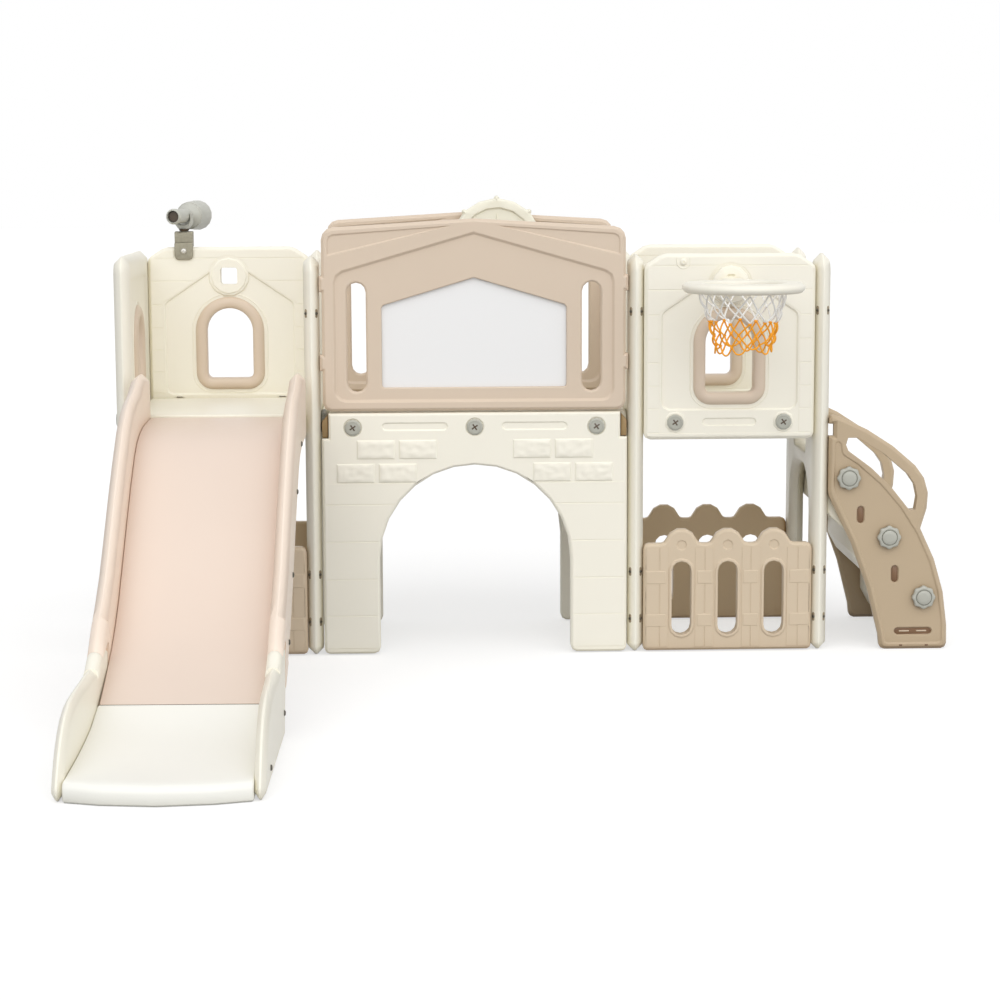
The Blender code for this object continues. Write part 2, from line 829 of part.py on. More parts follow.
def exit_bed():
    """The low end of the slide: a flat box on the floor that gets wider towards a bowed nose."""
    top = ride_line(RUN_OUT, 0)
    heel = [(-0.930, 0, 0.008), (-0.930, 0.048), (-0.950, 0.0728)]
    side_view = rounded([(EXIT_NOSE + 0.004, 0, 0.006), *heel, *top, (EXIT_NOSE, 0.041, 0.016)])
    half = SLIDE_HALF - RAIL_THICK - CLEAR
    edge = 0.003
    form = Moulding()
    rings = []
    for share in (-1, -0.98, -0.6, 0, 0.6, 0.98, 1):
        outline = inset(side_view, edge if abs(share) == 1 else 0)
        ring = form.ring(outline, 0)
        for vert in ring:
            along = vert.co.x
            vert.co.z = share * (half + thinned(along))
            if along < RUN_OUT[-1][0]:
                vert.co.x -= NOSE_BOW * (1 - share**2)
        rings.append(ring)
    for first, second in zip(rings, rings[1:]):
        form.band(first, second)
    form.fill(rings[0], [])
    form.fill(rings[-1], [])
    return form.mesh


def exit_side(sign):
    """A side of the low end, which takes over from the rail. sign is -1 on the left."""
    crest = [(-0.950, 0.172), (-1.100, 0.170), (-1.210, 0.163), (-1.290, 0.130), (-1.345, 0.082)]
    crest = flow([*crest, (-1.380, 0.030)], 2)
    heel = [(-0.860, 0, 0.018), (-0.815, 0.100, 0.018), (EXIT_START, 0.205, 0.018)]
    side = panel(rounded([(-1.385, 0, 0.018), *heel, *crest]), RAIL_THICK, 0.014, quarter=1)
    for vert in side.verts:
        outer = sign * RAIL_THICK / 2
        vert.co.z = outer + (vert.co.z - outer) * (1 - thinned(vert.co.x) / RAIL_THICK)
    return side


def add_slide(castle, blush, peach, cream):
    askew = (0, 0, -math.radians(SLIDE_ASKEW))
    head = castle.pivot("slide_head", (LEFT_MIDDLE + SLIDE_ASIDE, -0.005, 0), askew)
    between = 2 * (SLIDE_HALF - RAIL_THICK - CLEAR)
    chute = panel(chute_bed(), between, 0.002, quarter=1)
    castle.add("slide_bed", chute, blush, turn=FACING_RIGHT, parent=head)
    castle.add("slide_exit_bed", exit_bed(), cream, turn=FACING_RIGHT, parent=head)
    for side, sign in (("left", -1), ("right", 1)):
        across = (sign * (SLIDE_HALF - RAIL_THICK / 2), 0, 0)
        rail = panel(chute_rail(), RAIL_THICK, 0.014, quarter=1)
        castle.add(f"slide_{side}_rail", rail, peach, across, FACING_RIGHT, parent=head)
        low = exit_side(sign)
        castle.add(f"slide_exit_{side}_side", low, cream, across, FACING_RIGHT, parent=head)


# Climber

CLIMB_LEFT = RIGHT_OUTER + FRAME_THICK / 2 + CLEAR
CLIMB_THICK = 0.030
EDGE_CENTRE = (1.494, 0.031)
EDGE_ROUND = 0.568
BACK_CENTRE = (0.723, -0.190)
BACK_ROUND = 1.186
GRIP_CENTRE = (1.584, 0.074)
GRIP_ROUND = 0.5545
GRIP_THICK = 0.029
GRIP_END = 0.115
GRIP_TURN = 45.3
CLIMB_KNOBS = ((1.805, 0.439), (1.909, 0.288), (1.999, 0.134))


def on_circle(centre, radius, height):
    """The angle, in degrees, at which the right side of a circle is at a height."""
    return math.degrees(math.asin((height - centre[1]) / radius))


def meeting(first, first_round, second, second_round):
    """Where two circles meet, on the right of the line from the first centre to the second."""
    gap = Vector(second) - Vector(first)
    reach = gap.length
    along = (first_round**2 - second_round**2 + reach**2) / (2 * reach)
    aside = math.sqrt(first_round**2 - along**2)
    unit = gap / reach
    return Vector(first) + unit * along + Vector((unit.y, -unit.x)) * aside


def angle_at(centre, point):
    return math.degrees(math.atan2(point[1] - centre[1], point[0] - centre[0]))


def grip_end_centre():
    lean = math.radians(GRIP_TURN)
    reach = GRIP_ROUND - GRIP_END
    return (GRIP_CENTRE[0] + reach * math.cos(lean), GRIP_CENTRE[1] + reach * math.sin(lean))


def climber_outline():
    """The climber's side: a curved leg with a hand grip that springs from its outer edge."""
    end = grip_end_centre()
    joint = meeting(EDGE_CENTRE, EDGE_ROUND, end, GRIP_END)
    foot_angle = on_circle(EDGE_CENTRE, EDGE_ROUND, 0.060)
    outer = arc(EDGE_CENTRE, EDGE_ROUND, foot_angle, angle_at(EDGE_CENTRE, joint) - 1)
    bulge = arc(end, GRIP_END, angle_at(end, joint) + 4, GRIP_TURN)
    crest = arc(GRIP_CENTRE, GRIP_ROUND, GRIP_TURN, 69)
    back_top = on_circle(BACK_CENTRE, BACK_ROUND, 0.385)
    back_low = on_circle(BACK_CENTRE, BACK_ROUND, 0.040)
    inner = arc(BACK_CENTRE, BACK_ROUND, back_top, back_low)
    notch = 0.012
    return rounded(
        [
            (1.891, 0.0, 0.014),
            (2.062, 0.0, 0.014),
            *outer,
            *bulge[1:],
            *crest[1:],
            (CLIMB_LEFT, 0.602, 0.0095),
            (CLIMB_LEFT, 0.575),
            (CLIMB_LEFT + notch, 0.575),
            (CLIMB_LEFT + notch, 0.545),
            (CLIMB_LEFT, 0.545),
            (CLIMB_LEFT, 0.400, 0.03),
            *inner,
        ]
    )


def grip_opening():
    """The crescent between the leg's outer edge and the grip."""
    end = grip_end_centre()
    inner_end = GRIP_END - GRIP_THICK
    inner_crest = GRIP_ROUND - GRIP_THICK
    joint = meeting(EDGE_CENTRE, EDGE_ROUND, end, inner_end)
    leg_top = 57.0
    lower = arc(EDGE_CENTRE, EDGE_ROUND, leg_top, angle_at(EDGE_CENTRE, joint) + 1.5)
    bulge = arc(end, inner_end, angle_at(end, joint) + 10, GRIP_TURN)
    crest = arc(GRIP_CENTRE, inner_crest, GRIP_TURN, 62.5)
    return tidy([*lower, *bulge, *crest[1:], (1.802, 0.540), (1.797, 0.522)])


def climber_field():
    """The sunk field that follows the leg's edges, with a finger up towards the deck."""
    margin = 0.012
    outer = arc(EDGE_CENTRE, EDGE_ROUND - margin, 4, 53)
    inner = arc(BACK_CENTRE, BACK_ROUND + margin, 27.5, 11.5)
    return rounded(
        [
            (1.902, 0.014, 0.010),
            (2.049, 0.014, 0.010),
            *outer,
            (1.790, 0.500, 0.010),
            (1.786, 0.532, 0.007),
            (1.770, 0.532, 0.007),
            (1.767, 0.420, 0.020),
            *inner,
        ]
    )


def climber_side():
    knobs = [through(f"knob {x}", circle(x, y, SHANK_HOLE)) for x, y in CLIMB_KNOBS]
    marks = []
    for mark in ((1.837, 0.345, 0.021, 0.047), (1.926, 0.193, 0.021, 0.047), (1.975, 0.046, 0.099, 0.021)):
        marks.append(Feature(stadium(*mark), [(0.002, -0.004)]))
    grip = through("grip", grip_opening())
    front = [Feature(climber_field(), [(0.003, -0.003)], [*knobs, *marks]), grip]
    return panel(climber_outline(), CLIMB_THICK, 0.008, front, [*knobs, grip], quarter=1)


def step_outline(knob, left):
    """A step: a tread with a slanting hollow body below it, about the knob that holds it."""
    x, y = knob
    tread = y + 0.022
    lowest = max(y - 0.140, 0.006)
    return rounded(
        [
            (max(x - 0.058, left), y - 0.094, 0.012),
            (x + 0.004, lowest, 0.010),
            (x + 0.030, lowest + 0.028, 0.012),
            (x + 0.045, tread, 0.008),
            (max(x - 0.082, left), tread, 0.008),
            (max(x - 0.082, left), y - 0.050, 0.012),
        ]
    )


def add_climber(castle, tan, cream, grey):
    front = CLIMB_THICK / 2
    back = FRAME_DEPTH - CLIMB_THICK / 2
    castle.add("climber_front_side", climber_side(), tan, (0, front, 0), FACING_FRONT)
    rear = climber_side()
    bmesh.ops.scale(rear, verts=rear.verts, vec=(1, 1, -1))
    castle.add("climber_back_side", rear, tan, (0, back, 0), FACING_FRONT)
    between = FRAME_DEPTH - 2 * CLIMB_THICK - 2 * CLEAR
    socket_deep = 0.018
    for number, knob in enumerate(CLIMB_KNOBS, 1):
        socket = Feature(circle(*knob, SHANK_HOLE), [(0, -socket_deep)])
        outline = step_outline(knob, CLIMB_LEFT + 0.002)
        tread = panel(outline, between, 0.003, [socket], [socket], quarter=1)
        castle.add(f"climber_step_{number}", tread, cream, (0, FRAME_DEPTH / 2, 0), FACING_FRONT)
        sunk = 0.003
        place = (knob[0], sunk, knob[1])
        add_knob(castle, grey, f"climber_front_knob_{number}", place, FACING_FRONT)
        place = (knob[0], FRAME_DEPTH - sunk, knob[1])
        add_knob(castle, grey, f"climber_back_knob_{number}", place, FACING_BACK)


def add_knob(castle, grey, name, place, turn, length=0.042):
    """An eight-sided hand knob with a round cap, and the screw that it turns."""
    high = 0.014
    cap = 0.0195
    profile = [
        (0, -length),
        (SHANK, -length),
        (SHANK, CLEAR),
        (KNOB_ROUND - 0.002, CLEAR),
        (KNOB_ROUND, 0.003),
        (KNOB_ROUND, high - 0.003),
        (KNOB_ROUND - 0.004, high),
        (cap, high),
        (cap - 0.002, high + 0.003),
        (0, high + 0.004),
    ]
    castle.add(name, turned(profile, 8), grey, place, turn)


def add_deck_knobs(castle, grey):
    outside = LEFT_OUTER - FRAME_THICK / 2
    place = (outside, LEFT_KNOB_BACK, KNOB_UP)
    add_knob(castle, grey, "left_deck_knob", place, FACING_LEFT, FRAME_THICK - 0.002)
    inside = LEFT_INNER + FRAME_THICK / 2
    place = (inside, INNER_KNOB_BACK, KNOB_UP)
    add_knob(castle, grey, "inner_deck_knob", place, FACING_RIGHT, FRAME_THICK - 0.002)


# Hoop and net

RIM_OUT = 0.146
RIM_IN = 0.105
RIM_THICK = 0.024
RIM_UP = 0.930
RIM_BACK = -0.240
NECK_HALF = 0.030
CORD = 0.0044
NET_KNOTS = 12
NET_LEVELS = ((0.102, 0.0), (0.092, 0.034), (0.082, 0.066), (0.074, 0.098), (0.068, 0.128))


def hoop_rim(reach):
    """A flat rim with a neck that runs back to its bracket."""
    lean = math.degrees(math.asin(NECK_HALF / RIM_OUT))
    outline = [*arc((0, 0), RIM_OUT, 90 + lean, 450 - lean), (NECK_HALF, reach, 0), (-NECK_HALF, reach, 0)]
    opening = through("opening", circle(0, 0, RIM_IN), 0.005)
    return panel(rounded(outline), RIM_THICK, 0.008, [opening], [opening], quarter=1)


def add_hoop(castle, cream):
    face = FRONT_WALL_BACK - PANEL_THICK / 2 - 0.003
    plate = 0.012
    neck_back = face - CLEAR - plate - CLEAR
    castle.add("hoop_rim", hoop_rim(neck_back - RIM_BACK), cream, (RIGHT_MIDDLE, RIM_BACK, RIM_UP))
    peg = box_outline(-0.0212, -0.0212, 0.0212, 0.0212, 0.005)
    form = Moulding()
    disc = circle(0, 0, BOSS_ROUND - 0.001)
    levels = (form.ring(inset(disc, 0.003), plate), form.ring(disc, plate - 0.003), form.ring(disc, 0))
    form.band(levels[0], levels[1])
    form.band(levels[1], levels[2])
    form.area(levels[0], plate, [Feature(stadium(0, 0.022, 0.020, 0.006), [(0.001, -0.004)])], 1)
    form.area(levels[2], 0, [Feature(peg, [(0, 0.040)])], -1)
    castle.add("hoop_bracket", form.mesh, cream, (RIGHT_MIDDLE, face - CLEAR, BOSS_UP), FACING_FRONT)


def cord_ring(knots):
    """A closed cord of square section through the knots."""
    mesh = bmesh.new()
    half = CORD / 2
    rings = []
    count = len(knots)
    for index, knot in enumerate(knots):
        here = Vector(knot)
        along = (Vector(knots[(index + 1) % count]) - Vector(knots[index - 1])).normalized()
        outward = Vector((here.x, here.y, 0)).normalized()
        across = along.cross(outward).normalized()
        outward = across.cross(along)
        corners = ((-half, 0), (0, -half), (half, 0), (0, half))
        rings.append([mesh.verts.new(here + across * a + outward * b) for a, b in corners])
    for index in range(count):
        for side in range(4):
            nearer = (side + 1) % 4
            first, second = rings[index - 1], rings[index]
            mesh.faces.new((first[side], first[nearer], second[nearer], second[side]))
    return mesh


def net_course(upper, lower, shift, top, drop=0.0):
    """One zigzag course of the net, between two levels."""
    knots = []
    for step in range(NET_KNOTS):
        for half_step, (radius, fall) in ((0, upper), (1, lower)):
            angle = 2 * math.pi * (step + (half_step + shift) / 2) / NET_KNOTS
            lift = drop if half_step == 0 else 0
            knots.append((radius * math.cos(angle), radius * math.sin(angle), top - fall - lift))
    return cord_ring(knots)


def add_net(castle, white, orange):
    top = RIM_UP - RIM_THICK / 2 - CORD
    place = (RIGHT_MIDDLE, RIM_BACK, 0)
    for name, material, first in (("net_upper", white, 0), ("net_lower", orange, 2)):
        drop = 0.0055 if first else 0.0
        upper = net_course(NET_LEVELS[first], NET_LEVELS[first + 1], first, top, drop)
        net = castle.add(name, upper, material, place, smooth=80)
        lower = net_course(NET_LEVELS[first + 1], NET_LEVELS[first + 2], first + 1, top)
        castle.shape(f"{name}_second_course", lower, net, "UNION", place=place)


# Telescope and steering wheel

SCOPE_ASIDE = -0.1165
SCOPE_BACK = 0.443
SCOPE_UP = 1.090
SCOPE_SHELF = 1.050
SCOPE_YAW = 14
WHEEL_ROUND = 0.120


def telescope_bracket():
    """The block that sits astride the wall's top edge, drawn in depth (x) and height (y)."""
    wall_face = BACK_WALL_BACK - PANEL_THICK / 2
    wall_top = WALL_HIGH + BACK_RAISED
    ledge = wall_top + 0.012
    front = wall_face - 0.007
    corners = [
        (wall_face - CLEAR, wall_top - 0.010),
        (wall_face - CLEAR, wall_top + CLEAR),
        (wall_face + PANEL_THICK, wall_top + CLEAR, 0.002),
        (wall_face + PANEL_THICK, SCOPE_SHELF, 0.004),
        (wall_face + 0.003, SCOPE_SHELF, 0.004),
        (wall_face + 0.003, ledge),
        (front, ledge, 0.003),
        (front, wall_top - 0.010),
    ]
    return panel(rounded(corners), 0.048, 0.0015, quarter=1)


def cradle():
    """The telescope's fork from the front: a flared foot, a round seat and two arms."""
    arm = 0.003
    half = SCOPE_SEAT
    foot = 0.0065
    seat = 0.0165
    top = SCOPE_UP - SCOPE_SHELF + 0.008
    right = [
        (0.0125, foot),
        (half + arm, foot + 0.014, 0.008),
        (half + arm, top, 0.0009),
        (half, top, 0.0009),
        (half, seat, 0.013),
    ]
    left = [(-corner[0], *corner[1:]) for corner in reversed(right)]
    return panel(rounded([*right, *left]), 0.018, 0.0008, quarter=1)


# Half the gap between the fork's arms
SCOPE_SEAT = 0.0202


def add_telescope(castle, grey, dark):
    across = LEFT_MIDDLE + SCOPE_ASIDE
    # A tongue screwed to the wall's inner face carries the block
    wall_face = BACK_WALL_BACK - PANEL_THICK / 2
    bracket = castle.add("telescope_bracket", telescope_bracket(), grey, (across, 0, 0), FACING_RIGHT)
    tongue = box_outline(-0.024, 0.976, 0.024, 1.019, 0.011)
    tongue = panel(tongue, 0.007 - CLEAR, 0.0015, quarter=1)
    middle = wall_face - (0.007 + CLEAR) / 2
    castle.shape("bracket_tongue", tongue, bracket, "UNION", FACING_FRONT, place=(across, middle, 0))
    yaw = (0, 0, -math.radians(SCOPE_YAW))
    swivel = castle.pivot("telescope_swivel_axis", (across, SCOPE_BACK, SCOPE_SHELF), yaw)
    # The swivel's stub turns in a hole in the block
    stub = 0.014
    collar = [(0, -stub), (SHANK, -stub), (SHANK, CLEAR), (0.0115, CLEAR), (0.0145, 0.0062), (0, 0.0062)]
    castle.add("telescope_swivel", turned(collar, 12), dark, parent=swivel)
    castle.shape("bracket_hole", rod(SHANK_HOLE, stub + 0.001), bracket, "DIFFERENCE", parent=swivel)
    fork = castle.add("telescope_cradle", cradle(), grey, turn=FACING_FRONT, parent=swivel)
    tilt = castle.pivot("telescope_tilt_axis", (0, 0, SCOPE_UP - SCOPE_SHELF), parent=swivel)
    barrel = [
        (0, -0.072),
        (0.0155, -0.072),
        (0.0155, -0.0855),
        (0.0175, -0.0855),
        (0.0180, -0.0820),
        (0.0205, -0.0800),
        (0.0205, -0.0680),
        (0.0180, -0.0640),
        (0.0185, 0.0180),
        (0.0200, 0.0240),
        (0.0320, 0.0360),
        (0.0325, 0.0420),
        (0.0362, 0.0425),
        (0.0385, 0.0950),
        (0.0395, 0.1000),
        (0.0395, 0.1120),
        (0.0385, 0.1150),
        (0.0345, 0.1150),
        (0.0333, 0.1040),
        (0, 0.1040),
    ]
    along = (-math.pi / 2, 0, 0)
    tube = castle.add("telescope_tube", turned(barrel, 16), grey, turn=along, parent=tilt)
    # Two pins on the tube turn in holes through the fork's arms
    reach = SCOPE_SEAT + 0.003
    pin = rod(0.0045, reach)
    hole = rod(0.0052, reach + 0.003)
    castle.shape("tube_pins", pin, tube, "UNION", (0, math.pi / 2, 0), tilt)
    castle.shape("cradle_holes", hole, fork, "DIFFERENCE", (0, math.pi / 2, 0), tilt)
    eye = [(0, -0.0765), (0.0150, -0.0765), (0.0150, -0.0725), (0, -0.0723)]
    castle.add("eyepiece_lens", turned(eye, 12), dark, turn=along, parent=tilt)
    far = [(0, 0.1045), (0.0318, 0.1045), (0.0318, 0.1065), (0, 0.1095)]
    castle.add("objective_lens", turned(far, 12), dark, turn=along, parent=tilt)


def steering_wheel():
    """A ship's wheel: a round rim with eight stubby handles round a disc with a raised star."""
    spokes = 8
    rim = 0.0115
    tube = WHEEL_ROUND - rim
    handle = 0.013
    outline = []
    for number in range(spokes):
        middle = 360 / spokes * number
        lean = math.degrees(math.asin(handle / 2 / WHEEL_ROUND))
        outline += [(*polar(WHEEL_ROUND, middle - lean), 0)]
        outline += [(*polar(WHEEL_ROUND + 0.007, middle - lean), 0.004)]
        outline += [(*polar(WHEEL_ROUND + 0.007, middle + lean), 0.004)]
        outline += [(*polar(WHEEL_ROUND, middle + lean), 0)]
        outline += [(*polar(WHEEL_ROUND, middle + 180 / spokes), 0)]
    inner = circle(0, 0, tube - rim, 16)
    star = []
    for number in range(16):
        reach = 0.086 if number % 4 == 0 else 0.054 if number % 2 == 0 else 0.020
        star.append(polar(reach, 360 / 16 * number))
    axle = through("axle", circle(0, 0, SHANK_HOLE + 0.0006))
    front = Feature(inner, [(0.003, -0.006)], [Feature(star, [(0.003, 0.003)], [axle])])
    back = Feature(inner, [(0.003, -0.006)], [axle])
    return panel(rounded(outline), 0.020, 0.006, [front], [back], quarter=1)


def polar(radius, angle):
    return (radius * math.cos(math.radians(angle)), radius * math.sin(math.radians(angle)))


def add_wheel(castle, cream, grey):
    panel_face = BACK_WALL_BACK - PANEL_THICK / 2
    wheel_back = panel_face - 0.014
    across = BRIDGE_MIDDLE + WHEEL_ASIDE
    axis = castle.pivot("wheel_axis", (across, wheel_back, WHEEL_UP))
    castle.add("steering_wheel", steering_wheel(), cream, turn=FACING_FRONT, parent=axis)
    head = 0.0075
    cap = 0.011
    profile = [(0, -0.045), (SHANK, -0.045), (SHANK, head)]
    profile += [(cap, head), (cap, head + 0.003), (0, head + 0.006)]
    place = (across, wheel_back, WHEEL_UP)
    castle.add("wheel_axle", turned(profile, 12), grey, place, FACING_FRONT)


def main():
    clear_scene()
    castle = Set()
    cream = plastic("cream plastic", (240, 237, 225))
    sand = plastic("sand plastic", (207, 190, 170))
    tan = plastic("tan plastic", (205, 188, 163))
    blush = plastic("blush plastic", (238, 224, 211))
    peach = plastic("peach plastic", (231, 208, 188))
    grey = plastic("grey plastic", (172, 172, 164), 0.4)
    clear = plastic("pale pane", (238, 238, 238), 0.2)
    dark = plastic("dark plastic", (84, 74, 66), 0.3)
    white = plastic("white cord", (245, 243, 238), 0.7)
    orange = plastic("orange cord", (255, 160, 20), 0.7)
    add_frames(castle, cream)
    add_walls(castle, cream, grey)
    add_window_rings(castle, sand)
    add_decks(castle, cream)
    add_arches(castle, cream, grey)
    add_gables(castle, sand, clear)
    add_fences(castle, tan)
    add_slide(castle, blush, peach, cream)
    add_climber(castle, tan, cream, grey)
    add_deck_knobs(castle, grey)
    add_hoop(castle, cream)
    add_net(castle, white, orange)
    add_telescope(castle, grey, dark)
    add_wheel(castle, cream, grey)
    castle.centre()


main()
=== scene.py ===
"""Looks of a toddler play castle: moulded finishes, net cords, screws and trim round the model."""

import json
import math

import bmesh
import bpy
from mathutils import Matrix, Vector, noise

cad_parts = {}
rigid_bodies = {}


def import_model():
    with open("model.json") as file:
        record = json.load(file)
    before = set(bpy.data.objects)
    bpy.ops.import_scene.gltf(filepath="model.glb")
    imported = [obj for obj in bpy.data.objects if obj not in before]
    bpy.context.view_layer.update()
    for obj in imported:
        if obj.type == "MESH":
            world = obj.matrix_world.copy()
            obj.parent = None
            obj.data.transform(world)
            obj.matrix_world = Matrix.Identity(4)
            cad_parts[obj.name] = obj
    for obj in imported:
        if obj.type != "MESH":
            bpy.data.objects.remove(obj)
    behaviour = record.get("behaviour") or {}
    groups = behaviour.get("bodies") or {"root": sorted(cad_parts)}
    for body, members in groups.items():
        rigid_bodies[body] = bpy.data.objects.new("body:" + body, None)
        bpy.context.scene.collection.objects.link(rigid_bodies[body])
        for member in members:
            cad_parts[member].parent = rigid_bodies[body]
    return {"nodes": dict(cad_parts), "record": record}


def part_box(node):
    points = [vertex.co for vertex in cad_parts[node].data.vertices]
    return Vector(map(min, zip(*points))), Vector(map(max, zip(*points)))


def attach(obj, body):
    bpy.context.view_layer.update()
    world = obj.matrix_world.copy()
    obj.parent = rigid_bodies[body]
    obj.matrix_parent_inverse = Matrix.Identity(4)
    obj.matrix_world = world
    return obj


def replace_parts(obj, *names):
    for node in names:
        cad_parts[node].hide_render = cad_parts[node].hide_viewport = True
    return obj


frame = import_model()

for startup in list(bpy.data.objects):
    if startup.name not in frame["nodes"] and not startup.name.startswith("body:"):
        bpy.data.objects.remove(startup)
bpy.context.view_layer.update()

# The set is laid out from the middle of the left outer frame, its front face and the floor
FRAME_LOW, FRAME_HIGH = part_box("left_outer_frame")
ORIGIN = Vector(((FRAME_LOW.x + FRAME_HIGH.x) / 2, FRAME_LOW.y, 0))
TOWER = 0.465
BRIDGE = 0.805
FRAME_DEPTH = 0.460
LEFT_MIDDLE = TOWER / 2
BRIDGE_MIDDLE = TOWER + BRIDGE / 2
RIGHT_MIDDLE = TOWER + BRIDGE + TOWER / 2
FRAME_MIDDLES = (0, TOWER, TOWER + BRIDGE, 2 * TOWER + BRIDGE)

# How far the faces of the front and back walls lie behind the frames' front faces
FRONT_OUTSIDE = 0.001
FRONT_INSIDE = 0.036
BACK_INSIDE = 0.424
BACK_OUTSIDE = 0.459

# The back walls stand this much higher than the front ones
BACK_RAISED = 0.008

ROOT = "play_set"

# Turns that set a piece drawn in x and y, with z towards the viewer, against an upright face
TO_FRONT = Matrix.Rotation(math.pi / 2, 4, "X")
TO_BACK = Matrix.Rotation(math.pi, 4, "Z") @ TO_FRONT
TO_RIGHT = Matrix.Rotation(math.pi / 2, 4, "Z") @ TO_FRONT
TO_LEFT = Matrix.Rotation(-math.pi / 2, 4, "Z") @ TO_FRONT


def at(x, y, z):
    """A place in the set's own layout."""
    return ORIGIN + Vector((x, y, z))


def middle(name):
    """The middle of the box of one of the model's pieces."""
    low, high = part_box(name)
    return (low + high) / 2


# Materials


def linear(colour):
    """A colour of 0 to 255 a channel, as the shaders take it."""
    return (*((channel / 255) ** 2.2 for channel in colour), 1.0)


def node(tree, kind, inputs=None, **settings):
    """A new node, with its settings made and its inputs set or linked."""
    made = tree.nodes.new(kind)
    for name, value in settings.items():
        setattr(made, name, value)
    for socket, value in (inputs or {}).items():
        if isinstance(value, bpy.types.NodeSocket):
            tree.links.new(value, made.inputs[socket])
        else:
            made.inputs[socket].default_value = value
    return made


def new_group(name, inputs, outputs):
    """A shader node group with named sockets, and its input and output nodes."""
    tree = bpy.data.node_groups.new(name, "ShaderNodeTree")
    for direction, sockets in (("INPUT", inputs), ("OUTPUT", outputs)):
        for label, kind in sockets:
            tree.interface.new_socket(label, in_out=direction, socket_type=kind)
    return tree, tree.nodes.new("NodeGroupInput"), tree.nodes.new("NodeGroupOutput")


NUMBER = "NodeSocketFloat"
COLOUR = "NodeSocketColor"


def ranged(tree, value, low, high, start=0.0, end=1.0):
    inputs = {"Value": value, "From Min": start, "From Max": end, "To Min": low, "To Max": high}
    return node(tree, "ShaderNodeMapRange", inputs).outputs["Result"]


def sums(tree, kind, first, second):
    return node(tree, "ShaderNodeMath", {0: first, 1: second}, operation=kind).outputs[0]


def moulded_skin():
    """Blow-moulded plastic: faint clouding, a satin grain, pale scuffs, and painted shade that darkens and
    warms its crevices.
    """
    tree, given, result = new_group(
        "moulded skin",
        [("Colour", COLOUR), ("Gloss", NUMBER), ("Clouding", NUMBER), ("Wear", NUMBER)],
        [("Colour", COLOUR), ("Roughness", NUMBER), ("Height", NUMBER)],
    )
    where = node(tree, "ShaderNodeTexCoord").outputs["Object"]
    cloud = node(tree, "ShaderNodeTexNoise", {"Vector": where, "Scale": 3.1, "Detail": 3.0})
    patch = node(tree, "ShaderNodeTexNoise", {"Vector": where, "Scale": 38.0, "Detail": 2.0})
    grain = node(tree, "ShaderNodeTexNoise", {"Vector": where, "Scale": 950.0, "Detail": 2.0})
    long_way = node(tree, "ShaderNodeMapping", {"Vector": where, "Scale": (14.0, 14.0, 90.0)})
    scratch = node(
        tree, "ShaderNodeTexNoise",
        {"Vector": long_way.outputs[0], "Scale": 3.0, "Detail": 6.0, "Roughness": 0.7},
    )
    scuff = ranged(tree, scratch.outputs["Fac"], 0.0, 1.0, 0.66, 0.72)
    scuff = sums(tree, "MULTIPLY", scuff, given.outputs["Wear"])
    spread = sums(tree, "SUBTRACT", cloud.outputs["Fac"], 0.5)
    spread = sums(tree, "MULTIPLY", spread, given.outputs["Clouding"])
    level = sums(tree, "ADD", spread, 1.0)
    level = sums(tree, "ADD", level, sums(tree, "MULTIPLY", scuff, 0.03))
    tinted = node(
        tree, "ShaderNodeHueSaturation", {"Color": given.outputs["Colour"], "Value": level}
    ).outputs[0]
    # Painted shade: where ambient occlusion finds other surfaces close by, the colour is multiplied by
    # itself, which darkens and warms crevices and gaps.
    near = node(tree, "ShaderNodeAmbientOcclusion", {"Distance": 0.045}, samples=4)
    painted_shade_mask = ranged(tree, near.outputs["AO"], 0.75, 0.0, 0.15, 0.85)
    deep = node(
        tree, "ShaderNodeMix", {0: 1.0, 6: tinted, 7: given.outputs["Colour"]},
        data_type="RGBA", blend_type="MULTIPLY",
    ).outputs[2]
    shaded = node(tree, "ShaderNodeMix", {0: painted_shade_mask, 6: tinted, 7: deep}, data_type="RGBA").outputs[2]
    tree.links.new(shaded, result.inputs["Colour"])
    rough = sums(tree, "MULTIPLY", sums(tree, "SUBTRACT", patch.outputs["Fac"], 0.5), 0.16)
    rough = sums(tree, "ADD", rough, given.outputs["Gloss"])
    rough = sums(tree, "ADD", rough, sums(tree, "MULTIPLY", scuff, 0.2))
    tree.links.new(rough, result.inputs["Roughness"])
    height = sums(tree, "MULTIPLY", grain.outputs["Fac"], 0.10)
    height = sums(tree, "ADD", height, sums(tree, "MULTIPLY", patch.outputs["Fac"], 0.22))
    height = sums(tree, "ADD", height, sums(tree, "MULTIPLY", cloud.outputs["Fac"], 0.5))
    tree.links.new(height, result.inputs["Height"])
    return tree


def finished(name, colour, group, values, bump=0.0006, metallic=0.0):
    """A material whose colour, roughness and bump come from a group of nodes."""
    material = bpy.data.materials.new(name)
    material.use_nodes = True
    material.diffuse_color = linear(colour)
    tree = material.node_tree
    shader = tree.nodes["Principled BSDF"]
    made = node(tree, "ShaderNodeGroup", node_tree=group)
    made.inputs["Colour"].default_value = linear(colour)
    for label, value in values.items():
        made.inputs[label].default_value = value
    tree.links.new(made.outputs["Colour"], shader.inputs["Base Color"])
    tree.links.new(made.outputs["Roughness"], shader.inputs["Roughness"])
    relief = node(
        tree, "ShaderNodeBump", {"Height": made.outputs["Height"], "Distance": bump, "Strength": 0.6}
    )
    tree.links.new(relief.outputs[0], shader.inputs["Normal"])
    shader.inputs["Metallic"].default_value = metallic
    return material


